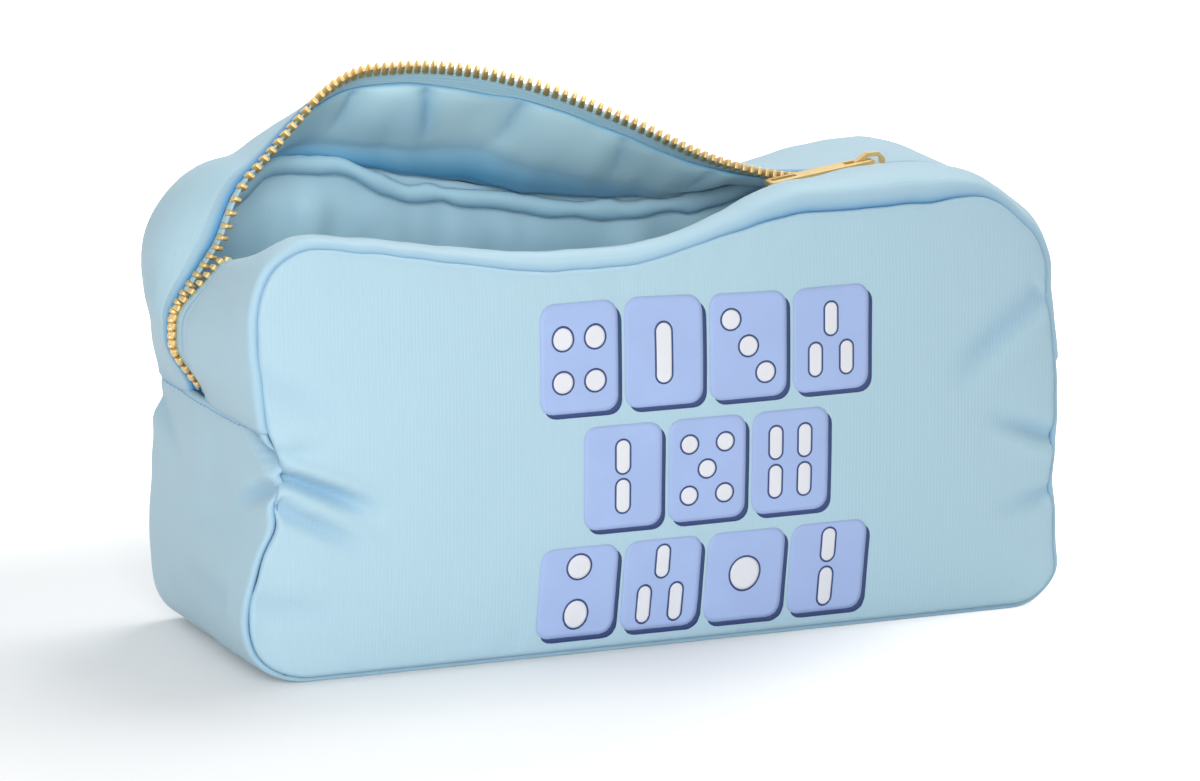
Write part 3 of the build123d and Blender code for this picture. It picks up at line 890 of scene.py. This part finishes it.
def lip_lining_surface(side, shape):
    """The satin inside a lip, gathered into soft puckers, with a wavy edge on the tape."""
    start = SEAM_IN + 0.6
    is_back = side > 0

    def surface(run, share):
        q = run - JOINT_LEFT + 0.8
        edge = STRIP_SPAN - LINING_EDGE + 1.3 * waves(q, 0 * q, 24.0, 4.0 + side, 2)
        across = start + (edge - start) * share
        gather = 1.5 * waves(q, across * 0.22, 19.0, 21.0 + side, 2)
        lines = np.sin(q / 4.3 + 3 * gather) * hump(share, 1.0, 0.35)
        body = np.sin(pi * np.clip(share, 0, 1)) ** 0.6
        pleats = lining_creases(q, share) * is_back
        depth = LIP_LINING_DEPTH + shape.pucker * (0.9 + gather) * body
        depth = depth + 0.25 * (1 + lines) * smooth((1 - share) * 9)
        depth = np.maximum(depth - pleats * smooth((1 - share) * 14), LIP_LINING_DEPTH)
        # painted shade: a shadow below the binding ridge on the back lip, a dark line along the edge on the
        # tape, and darker gathers and pleats
        valley = is_back * 0.95 * np.exp(-((share * (edge - start)) ** 2) / 110.0)
        lining_painted_shade = np.maximum(0.75 * np.exp(-(1 - share) * (edge - start) / 0.6), valley)
        lining_painted_shade = np.maximum(lining_painted_shade, 0.03 + 0.20 * np.clip(gather, 0, 1) * body + 0.22 * pleats)
        return on_lip(side, q, across, depth, run, lining_painted_shade)

    return surface


def tape_surface(side):
    """A zip tape, flat under the strip's edge."""

    def surface(run, share):
        q = run - JOINT_LEFT + 0.8
        across = STRIP_SPAN - TAPE_EDGE - TAPE_WIDTH * (1 - share)
        return on_lip(side, q, across, CHAIN_DEPTH - TAPE_THICKNESS / 2, run, 0 * run)

    return surface


# ---- teeth ----
def tooth_places(side):
    """q of each tooth of a row, half a pitch off the other row's."""
    first, last = -JOINT_LEFT + 2.4, JOINT_RIGHT - 2.4
    count = round((last - first) / TOOTH_PITCH)
    found = []
    for run in (np.arange(-count, count) + (0.0 if side > 0 else 0.5)) * TOOTH_PITCH:
        straight, radius = (LEFT_STRAIGHT, LEFT_TOP_RADIUS) if run < 0 else (RIGHT_STRAIGHT, RIGHT_TOP_RADIUS)
        short = 1 - CHAIN_DEPTH / radius
        curve = min(max(abs(run) - straight, 0.0) / short, radius * pi / 2)
        q = (abs(run) + curve * (1 - short)) * (-1 if run < 0 else 1)
        if first <= q <= last:
            found.append(q)
    return found


def tooth_axes(side, q):
    """A tooth's origin, and its directions along the row, to its tip and outwards."""
    origin = lip_place(side, q, STRIP_SPAN, CHAIN_DEPTH)
    root = lip_place(side, q, STRIP_SPAN - TOOTH_LENGTH, CHAIN_DEPTH, 0.0)
    tip = lip_place(side, q, STRIP_SPAN, CHAIN_DEPTH, 0.0) - root
    near = [lip_place(side, q + step, STRIP_SPAN, CHAIN_DEPTH, 0.0) for step in (0.6, -0.6)]
    tip = Vector(tip).normalized()
    along = Vector(near[0] - near[1]).normalized()
    along = (along - tip * along.dot(tip)).normalized()
    return Vector(origin), along, tip, along.cross(tip)


# ---- settings ----
def length(label, text, millimetres):
    return bpy.props.FloatProperty(name=label, description=text, default=millimetres, min=0.0)


def colour(label, text, code):
    return bpy.props.FloatVectorProperty(
        name=label, description=text, subtype="COLOR", size=3, min=0, max=1, default=rgb(code)
    )


class CaseShape(bpy.types.PropertyGroup):
    panel_crown: length("Panel crown", "How far the stuffed panels swell, in millimetres", 5.2)
    crown_reach: length("Crown reach", "How soon the panels swell away from a seam, in millimetres", 24.0)
    gusset_puff: length("Gusset puff", "How far the ends swell, in millimetres", 1.6)
    strip_puff: length("Strip puff", "How far the zip strips swell, in millimetres", 1.2)
    fold_depth: bpy.props.FloatProperty(
        name="Fold depth", description="Depth of the pulled folds", default=1.0, min=0
    )
    pucker: length("Pucker", "How far the satin gathers away from the cloth, in millimetres", 2.4)
    cloth: length("Cloth", "Thickness of the outer cloth, in millimetres", 0.8)


class CaseColours(bpy.types.PropertyGroup):
    nylon: colour("Nylon", "Outer cloth", "B6D6E4")
    # painted shade colour of the outer cloth in its seams, fold valleys and folded edges
    seam: colour("Seam", "Outer cloth deep in a seam", "2F86BD")
    satin: colour("Satin", "Lining", "CDEFFA")
    # painted shade colour of the satin in its valleys, below the ridge and low inside the case
    satin_deep: colour("Satin, deep", "Lining in its valleys and low inside", "0A8ABE")
    tape: colour("Tape", "Zip tape", "B4DDEC")
    brass: colour("Brass", "Teeth, slider and pull", "E3C488")
    tile: colour("Tile", "Printed tiles", "A9BEEA")
    ink: colour("Ink", "Outlines and shadows of the print", "33467A")
    thread: colour("Thread", "Topstitching", "7FB4D6")
    motif: colour("Motif", "Printed dots and bars", "E9E9EE")


NYLON_WEAVE = 0.00042
made_materials = {}


def materials():
    """The scene's materials, made once."""
    if made_materials:
        return made_materials
    chosen = bpy.context.scene.case_colours
    colours = {name: tuple(getattr(chosen, name)) for name in CaseColours.__annotations__}
    made_materials.update(
        nylon=woven_material(
            "blue_ribbed_nylon", colours["nylon"], colours["seam"], rib_pitch=0.0011, weave_pitch=NYLON_WEAVE,
            bump=0.35, Roughness=0.55, Sheen_Weight=0.12,
        ),
        satin=woven_material(
            "blue_satin", colours["satin"], colours["satin_deep"], rib_pitch=0.0007, weave_pitch=0.0003,
            bump=0.12, Roughness=0.38, Sheen_Weight=0.05, Coat_Weight=0.10,
        ),
        tape=woven_material(
            "blue_zip_tape", colours["tape"], colours["seam"], rib_pitch=0.0012, weave_pitch=0.0006,
            bump=0.7, Roughness=0.6, Sheen_Weight=0.2,
        ),
        brass=metal_material("polished_brass", colours["brass"], 0.36),
        thread=ink_material("blue_thread", colours["thread"], 0.00025),
        tile=ink_material("periwinkle_ink", colours["tile"], NYLON_WEAVE),
        ink=ink_material("navy_ink", colours["ink"], NYLON_WEAVE),
        motif=ink_material("white_ink", colours["motif"], NYLON_WEAVE),
    )
    return made_materials


# ---- operators ----
class CASE_OT_panels(bpy.types.Operator):
    """Sews the puffed front and back panels"""

    bl_idname = "case.panels"
    bl_label = "Panels"

    def execute(self, context):
        shape = context.scene.case_shape
        for side, name in SIDES:
            columns, rows, surface = panel_cloth(side, shape)
            piece = cloth(f"{name}_panel_cloth", columns, rows, surface, CASE_MIDDLE, shape.cloth)
            dress(piece, "nylon", "nylon", "case", f"{name}_panel", f"{name}_padding")
        return {"FINISHED"}


class CASE_OT_gusset(bpy.types.Operator):
    """Sews the band round the ends and the base"""

    bl_idname = "case.gusset"
    bl_label = "Gusset"

    def execute(self, context):
        shape = context.scene.case_shape
        columns, rows = spaced(GUSSET_RUN, 1.8), spaced(GUSSET_SPAN, 1.9)
        surface = gusset_surface(0.0, shape, True)
        piece = cloth("gusset_cloth", columns, rows, surface, CASE_MIDDLE, shape.cloth)
        dress(piece, "nylon", "nylon", "case", "bottom_gusset", "gusset_padding")
        return {"FINISHED"}


class CASE_OT_linings(bpy.types.Operator):
    """Hangs the satin inside the panels and the gusset"""

    bl_idname = "case.linings"
    bl_label = "Linings"

    def execute(self, context):
        shape = context.scene.case_shape
        for side, name in SIDES:
            columns = np.linspace(0.012, 0.988, 110)
            rows = np.linspace(0.022, 0.994, 64)

            def surface(u, v, side=side):
                flat = panel_grid(side, u, v)
                x, z = flat[:, 0], flat[:, 1]
                distance, _ = from_seam(side, x, z)
                gather = waves(x, z * 0.4, 17.0, 31.0 + side, 2)
                inwards = PANEL_LINING_DEPTH + shape.pucker * smooth(distance / 16) * (1 + 1.2 * gather)
                places = np.stack([x, side * (OUTER_DEPTH - inwards), z], 1)
                # painted shade that deepens lower in the case
                return places, flat, {"seam": painted_satin_shade(z)}

            far_out = (0, side * 400, 60)
            piece = cloth(f"{name}_lining_cloth", columns, rows, surface, far_out, SATIN_CLOTH)
            dress(piece, "satin", "satin", "case", f"{name}_lining")
        columns = np.linspace(2.0, GUSSET_RUN - 2.0, 160)
        rows = np.linspace(2.5, GUSSET_SPAN - 2.5, 44)
        surface = gusset_surface(GUSSET_LINING_DEPTH, shape, False)
        piece = cloth("gusset_lining_cloth", columns, rows, surface, CASE_MIDDLE, SATIN_CLOTH)
        piece.data.flip_normals()
        dress(piece, "satin", "satin", "case", "gusset_lining")
        return {"FINISHED"}


class CASE_OT_bindings(bpy.types.Operator):
    """Binds the seam allowance into a soft ridge inside each panel"""

    bl_idname = "case.bindings"
    bl_label = "Bindings"

    def execute(self, context):
        around, sides = 256, 14
        for side, name in SIDES:
            deselect()
            bpy.ops.mesh.primitive_torus_add(major_segments=around, minor_segments=sides)
            piece = context.object
            piece.name = piece.data.name = f"{name}_binding_ridge"
            index = np.arange(around * sides)
            turn = (index // sides) / around
            spin = (index % sides) / sides * tau
            length = HALF_AROUND_LEFT + HALF_AROUND_RIGHT
            run = turn * length
            s = np.where(run < HALF_AROUND_RIGHT, run, run - length)
            _, _, nx, nz = outline(s)
            seam_x, seam_z = seam_line(side, s)
            slack = waves(s, 0 * s, 24.0, 41.0 + side, 2)
            width = 2.7 + 1.1 * waves(s, 0 * s, 10.0, 43.0, 3)
            inset = 4.0 + 2.6 * slack - 3.2 * hump(s, -68.0, 9.0) + 2.4 * hump(s, -47.0, 8.0)
            off = width * np.cos(spin) - inset
            y = side * (SEAM_Y - 3.6 - 1.2 * (1 + slack) + 1.5 * np.sin(spin))
            put(piece, np.stack([seam_x + nx * off, y, seam_z + nz * off], 1))
            # a quarter of the deep colour all over is the ridge's own darker tone; on top of it, painted
            # shade on its underside
            under = np.clip(-np.cos(spin), 0, 1)
            point_values(piece, "seam", 0.25 + 0.35 * under)
            choose(piece)
            bpy.ops.object.mode_set(mode="EDIT")
            bpy.ops.mesh.select_all(action="SELECT")
            bpy.ops.mesh.normals_make_consistent(inside=False)
            bpy.ops.object.mode_set(mode="OBJECT")
            bpy.ops.object.shade_smooth()
            dress(piece, "satin", "satin", "case", f"{name}_binding")
        return {"FINISHED"}


class CASE_OT_lips(bpy.types.Operator):
    """Sews the two lips that carry the zip: strips, linings and tapes"""

    bl_idname = "case.lips"
    bl_label = "Lips"

    def execute(self, context):
        shape = context.scene.case_shape
        for side, name in SIDES:
            long_run = spaced(LIP_RUN, 1.6)
            satin_run, tape_run = (np.linspace(0, LIP_RUN - 1.6, count) for count in (300, 220))
            satin_rows, tape_rows = np.linspace(0, 1, 30), np.linspace(0, 1, 8)
            strip, lining = strip_surface(side, shape), lip_lining_surface(side, shape)
            tape = tape_surface(side)
            for kind, columns, rows, surface, thickness, material, node_name in (
                ("strip_cloth", long_run, strip_rows(), strip, STRIP_CLOTH, "nylon", "zip_strip"),
                ("lip_satin", satin_run, satin_rows, lining, LIP_SATIN_CLOTH, "satin", "lip_lining"),
                ("tape_cloth", tape_run, tape_rows, tape, TAPE_THICKNESS, "tape", "zip_tape"),
            ):
                piece = cloth(f"{name}_{kind}", columns, rows, surface, CASE_MIDDLE, thickness)
                dress(piece, material, material, None, f"{name}_{node_name}")
                follow_lip(piece)
        return {"FINISHED"}


def repeated(name, model, marks):
    """Copies a small model to every mark, a matrix and a lip's share, and joins the copies into one piece."""
    copies = []
    for matrix, share in marks:
        copy = model.copy()
        copy.data = model.data.copy()
        bpy.context.collection.objects.link(copy)
        copy.data.transform(matrix)
        point_values(copy, "turn", [share] * len(copy.data.vertices))
        copies.append(copy)
    piece = joined(copies, name)
    bpy.ops.object.shade_smooth_by_angle(angle=radians(50))
    return piece


def small_block(size, middle, bevel, segments):
    """A rounded block to be repeated, in millimetres turned to metres."""
    deselect()
    bpy.ops.mesh.primitive_cube_add(size=1)
    block = bpy.context.object
    block.scale = size
    block.location = middle
    bpy.ops.object.transform_apply(location=True, scale=True)
    apply_modifier(block, "BEVEL", width=bevel, segments=segments)
    return block


def placed(origin, along, across, out):
    """The matrix that takes a small model's own axes to these directions at an origin in millimetres."""
    turned = Matrix((along, across, out)).transposed().to_4x4()
    return Matrix.Translation(Vector(origin) * MM) @ turned


class CASE_OT_teeth(bpy.types.Operator):
    """Clamps the brass teeth on the tapes"""

    bl_idname = "case.teeth"
    bl_label = "Teeth"

    def execute(self, context):
        middle = (0, TOOTH_OVERLAP - TOOTH_LENGTH / 2, 0)
        tooth = small_block((TOOTH_WIDTH, TOOTH_LENGTH, TOOTH_DEPTH), middle, TOOTH_ROUNDING, 2)
        for point in tooth.data.vertices:
            toward_tip = float(smooth((point.co.y + 1.2) / 1.3))
            point.co.x *= 1 - (1 - TOOTH_TIP / TOOTH_WIDTH) * toward_tip
            point.co.z *= 1 - 0.08 * toward_tip
        tooth.data.transform(Matrix.Scale(MM, 4))
        for side, name in SIDES:
            marks = [
                (placed(*tooth_axes(side, q)), float(lip_turn(side, np.array(q), np.array(STRIP_SPAN))))
                for q in tooth_places(side)
            ]
            piece = repeated(f"{name}_teeth_row", tooth, marks)
            dress(piece, "brass", "brass", None, f"{name}_zip_teeth")
            follow_lip(piece)
        bpy.data.objects.remove(tooth)
        for node_name in ("slider_body", "slider_bridge", "pull_tab"):
            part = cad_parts[node_name]
            part.data.materials.clear()
            part.data.materials.append(materials()["brass"])
        return {"FINISHED"}


def stitch_mark(surface, a, b, step_a, step_b):
    """Where a stitch lies on a cloth at a, b: its matrix and the lip's share there."""
    ahead, beside = (step_a, step_b), (-step_b, step_a)
    steps = np.array([(0, 0), ahead, np.negative(ahead), beside, np.negative(beside)])
    places, _, values = surface(a + steps[:, 0], b + steps[:, 1])
    along = Vector(places[1] - places[2]).normalized()
    across = Vector(places[3] - places[4])
    across = (across - along * across.dot(along)).normalized()
    out = along.cross(across)
    if out.dot(Vector(places[0]) - Vector(CASE_MIDDLE)) < 0:
        out, across = -out, -across
    share = float(values["turn"][0]) if "turn" in values else 0.0
    return placed(Vector(places[0]) + out * STITCH_LIFT, along, across, out), share


class CASE_OT_stitches(bpy.types.Operator):
    """Topstitches the strips along the zip and the gusset's two hems"""

    bl_idname = "case.stitches"
    bl_label = "Stitches"

    def execute(self, context):
        shape = context.scene.case_shape
        stitch = small_block(STITCH_SIZE, (0, 0, 0), 0.12, 1)
        stitch.data.transform(Matrix.Scale(MM, 4))
        for side, name in SIDES:
            surface = strip_surface(side, shape)
            runs = np.arange(4.0, LIP_RUN - 4.0, STITCH_PITCH)
            marks = [stitch_mark(surface, run, STRIP_RUN - STITCH_INSET, 0.6, 0.0) for run in runs]
            piece = repeated(f"{name}_strip_stitches", stitch, marks)
            dress(piece, "thread", "nylon")
            follow_lip(piece)
        surface = gusset_surface(0.0, shape, True)
        rows = np.arange(4.0, GUSSET_SPAN - 4.0, STITCH_PITCH)
        for run, name in ((HEM_STITCH, "left"), (GUSSET_RUN - HEM_STITCH, "right")):
            marks = [stitch_mark(surface, run, row, 0.0, 0.6) for row in rows]
            dress(repeated(f"{name}_hem_stitches", stitch, marks), "thread", "nylon", "case")
        bpy.data.objects.remove(stitch)
        return {"FINISHED"}


TILE_WIDTH = 24.2
TILE_PITCH = 26.3
TILE_CORNER = 4.0
SHADOW_ACROSS, SHADOW_DOWN = 1.2, 1.4
OUTLINE_WIDTH = 0.55
INK_LAYERS = {
    # height above the cloth, cells across a patch, material
    "shadow": (0.05, 18, "ink"),
    "tile": (0.13, 18, "tile"),
    "outline": (0.20, 12, "ink"),
    "motif": (0.27, 12, "motif"),
}


def ink_patch(layer, x, z, width, height, radius, lean, shape):
    """A flat rounded shape of ink laid on the front panel, centred at x, z."""
    lift, cells, _ = INK_LAYERS[layer]
    straight_x, straight_z = width / 2 - radius, height / 2 - radius

    def surface(u, v):
        px = (2 * u - 1) * width / 2
        pz = (2 * v - 1) * height / 2
        over_x = np.maximum(np.abs(px) - straight_x, 0)
        over_z = np.maximum(np.abs(pz) - straight_z, 0)
        reach = np.maximum(over_x, over_z)
        size = np.sqrt(over_x**2 + over_z**2)
        pull = np.where(size > 1e-9, reach / np.maximum(size, 1e-9), 1.0)
        px = np.sign(px) * (np.minimum(np.abs(px), straight_x) + over_x * pull)
        pz = np.sign(pz) * (np.minimum(np.abs(pz), straight_z) + over_z * pull)
        flat = np.stack([x + px + lean * pz, z + pz], 1)
        return on_panel(-1, flat, shape, lift)[0], flat, {"seam": 0 * px}

    rows = max(3, round(cells * height / width)) + 1
    columns = np.linspace(0, 1, cells + 1)
    return cloth(layer, columns, np.linspace(0, 1, rows), surface, (x, 0, z), INK_CLOTH)


MOTIFS = {
    # width and height of the dots or bars, and where they lie
    "one": (9.0, 9.0, ((0, 0),)),
    "two": (7.0, 7.0, ((0, 6.6), (0, -6.6))),
    "three": (5.6, 5.6, ((-5.4, 8.0), (0, 0), (5.4, -8.0))),
    "four": (6.0, 6.0, ((-5, 6.2), (5, 6.2), (-5, -6.2), (5, -6.2))),
    "five": (5.0, 5.0, ((-5.6, 7.6), (5.6, 7.6), (0, 0), (-5.6, -7.6), (5.6, -7.6))),
    "bar_one": (4.6, 17.0, ((0, 0),)),
    "bar_two": (4.0, 9.6, ((0, 5.8), (0, -5.8))),
    "bar_three": (3.8, 9.4, ((0, 5.8), (-5, -5.8), (5, -5.8))),
    "bar_four": (3.8, 9.4, ((-4.6, 5.8), (4.6, 5.8), (-4.6, -5.8), (4.6, -5.8))),
}


TILE_ROWS = (
    # height of the row's middle, x of its first tile, a tile's height, lean, motifs
    (88.0, -29.5, 30.5, 0.02, ("four", "bar_one", "three", "bar_three")),
    (53.0, -16.3, 30.5, 0.0, ("bar_two", "five", "bar_four")),
    (20.8, -30.0, 25.0, 0.05, ("two", "bar_three", "one", "bar_two")),
)


class CASE_OT_print(bpy.types.Operator):
    """Prints rows of plain game tiles on the front panel"""

    bl_idname = "case.print"
    bl_label = "Print"

    def execute(self, context):
        shape = context.scene.case_shape
        patches = {layer: [] for layer in INK_LAYERS}
        for z, first, high, lean, kinds in TILE_ROWS:
            for column, kind in enumerate(kinds):
                x = first + column * TILE_PITCH
                forms = [
                    ("shadow", x + SHADOW_ACROSS, z - SHADOW_DOWN, TILE_WIDTH, high, TILE_CORNER),
                    ("tile", x, z, TILE_WIDTH, high, TILE_CORNER),
                ]
                width, height, places = MOTIFS[kind]
                for dx, dz in places:
                    for layer, more in (("outline", OUTLINE_WIDTH), ("motif", 0.0)):
                        grown = (width + 2 * more, height + 2 * more, width / 2 + more)
                        forms.append((layer, x + dx + lean * dz, z + dz, *grown))
                for form in forms:
                    patches[form[0]].append(ink_patch(*form, lean, shape))
        for layer, (_, _, finish) in INK_LAYERS.items():
            dress(joined(patches[layer], f"print_{layer}"), finish, "nylon", "case")
        return {"FINISHED"}


# where the floor's glow is weakest: the middle of a painted shadow under and beside the case
SHADOW_AT = (-0.13, -0.02, 0.0)
LAMPS = (
    # name, place, aim, size, spread in degrees, power
    ("overhead", (0.6, 0.35, 1.35), (0, 0, 0.06), 0.8, 180, 10.5),
    ("front_left", (-0.45, -0.76, 0.38), (-0.15, 0, 0.10), 0.45, 78, 1.05),
)
FLOOR_GLOW_PAINTED_SHADOW = {"From_Min": 0.12, "From_Max": 0.31, "To_Min": 0.11, "To_Max": 0.85}
CAMERA_AZIMUTH, CAMERA_ELEVATION = -23.28, 12.46
CAMERA_DISTANCE = 2.392
CAMERA_TARGET = (0, 0, 0.060)
CAMERA_LENS = 244.8
CAMERA_SHIFT = (-7.64 / 1200, 23.34 / 1200)


def seen_directly(tree):
    """1 where a surface is looked at or mirrored, and 0 where it only lights others."""
    path = node(tree, "ShaderNodeLightPath").outputs
    return maths("MAXIMUM", path["Is Camera Ray"], path["Is Glossy Ray"])


def put_up(scene, made, place, towards):
    """Stands a lamp or a camera at a place, facing a direction."""
    holder = bpy.data.objects.new(made.name, made)
    scene.collection.objects.link(holder)
    holder.location = place
    holder.rotation_euler = towards.to_track_quat("-Z", "Y").to_euler()
    return holder


class CASE_OT_stage(bpy.types.Operator):
    """Sets the pale floor, the soft lights and the camera"""

    bl_idname = "case.stage"
    bl_label = "Stage"

    def execute(self, context):
        scene = context.scene
        deselect()
        bpy.ops.mesh.primitive_plane_add(size=8)
        floor = context.object
        floor.name = "floor"
        material, tree, principled, places = shader(
            "white_floor", Base_Color=(0.86, 0.86, 0.86), Roughness=0.9, Specular_IOR_Level=0.1
        )
        # the floor glows for camera and glossy rays, weakest near SHADOW_AT and stronger further away, which
        # paints a shadow round the case
        away = node(
            tree, "ShaderNodeVectorMath", {"operation": "DISTANCE"}, _0=places["Object"], _1=SHADOW_AT
        ).outputs["Value"]
        easing = {"interpolation_type": "SMOOTHSTEP"}
        fade = node(tree, "ShaderNodeMapRange", easing, Value=away, **FLOOR_GLOW_PAINTED_SHADOW)
        strength = times(seen_directly(tree), fade.outputs["Result"])
        glow = node(tree, "ShaderNodeEmission", Color=(1, 1, 1), Strength=strength)
        both = node(tree, "ShaderNodeAddShader", _0=principled.outputs[0], _1=glow.outputs[0])
        fill(tree, tree.nodes["Material Output"], {"Surface": both.outputs[0]})
        floor.data.materials.append(material)

        scene.world = bpy.data.worlds.new("studio")
        scene.world.use_nodes = True
        sky = scene.world.node_tree
        direct = seen_directly(sky)
        level = maths("MULTIPLY_ADD", direct, 0.58, 0.42)
        shade = mixed(direct, (0.94, 0.98, 1.0), (1.0, 1.0, 1.0))
        fill(sky, sky.nodes["Background"], {"Color": shade, "Strength": level})

        for name, place, aim, size, spread, power in LAMPS:
            lamp = bpy.data.lights.new(name, "AREA")
            lamp.energy, lamp.size, lamp.spread = power, size, radians(spread)
            put_up(scene, lamp, Vector(place), Vector(aim) - Vector(place))

        azimuth, elevation = radians(CAMERA_AZIMUTH), radians(CAMERA_ELEVATION)
        away = Vector((sin(azimuth) * cos(elevation), -cos(azimuth) * cos(elevation), sin(elevation)))
        lens = bpy.data.cameras.new("camera")
        lens.lens = CAMERA_LENS
        lens.sensor_width = 36.0
        lens.shift_x, lens.shift_y = CAMERA_SHIFT
        lens.clip_end = 50
        scene.camera = put_up(scene, lens, Vector(CAMERA_TARGET) + away * CAMERA_DISTANCE, -away)
        scene.view_settings.view_transform = "Standard"
        return {"FINISHED"}


class CASE_PT_sidebar(bpy.types.Panel):
    """Lists the case's settings and its pieces"""

    bl_label = "Zip Case"
    bl_space_type = "VIEW_3D"
    bl_region_type = "UI"
    bl_category = "Zip Case"

    def draw(self, context):
        column = self.layout.column()
        for group in (context.scene.case_shape, context.scene.case_colours):
            for name in group.__annotations__:
                column.prop(group, name)
        for operator in OPERATORS:
            column.operator(operator.bl_idname)


OPERATORS = (
    CASE_OT_stage,
    CASE_OT_panels,
    CASE_OT_gusset,
    CASE_OT_linings,
    CASE_OT_bindings,
    CASE_OT_lips,
    CASE_OT_teeth,
    CASE_OT_stitches,
    CASE_OT_print,
)
CLASSES = (CaseShape, CaseColours, *OPERATORS, CASE_PT_sidebar)


def register():
    for made in CLASSES:
        bpy.utils.register_class(made)
    bpy.types.Scene.case_shape = bpy.props.PointerProperty(type=CaseShape)
    bpy.types.Scene.case_colours = bpy.props.PointerProperty(type=CaseColours)


def unregister():
    del bpy.types.Scene.case_colours
    del bpy.types.Scene.case_shape
    for made in reversed(CLASSES):
        bpy.utils.unregister_class(made)


def main():
    register()
    for operator in OPERATORS:
        category, name = operator.bl_idname.split(".")
        getattr(getattr(bpy.ops, category), name)()


if __name__ == "__main__":
    main()
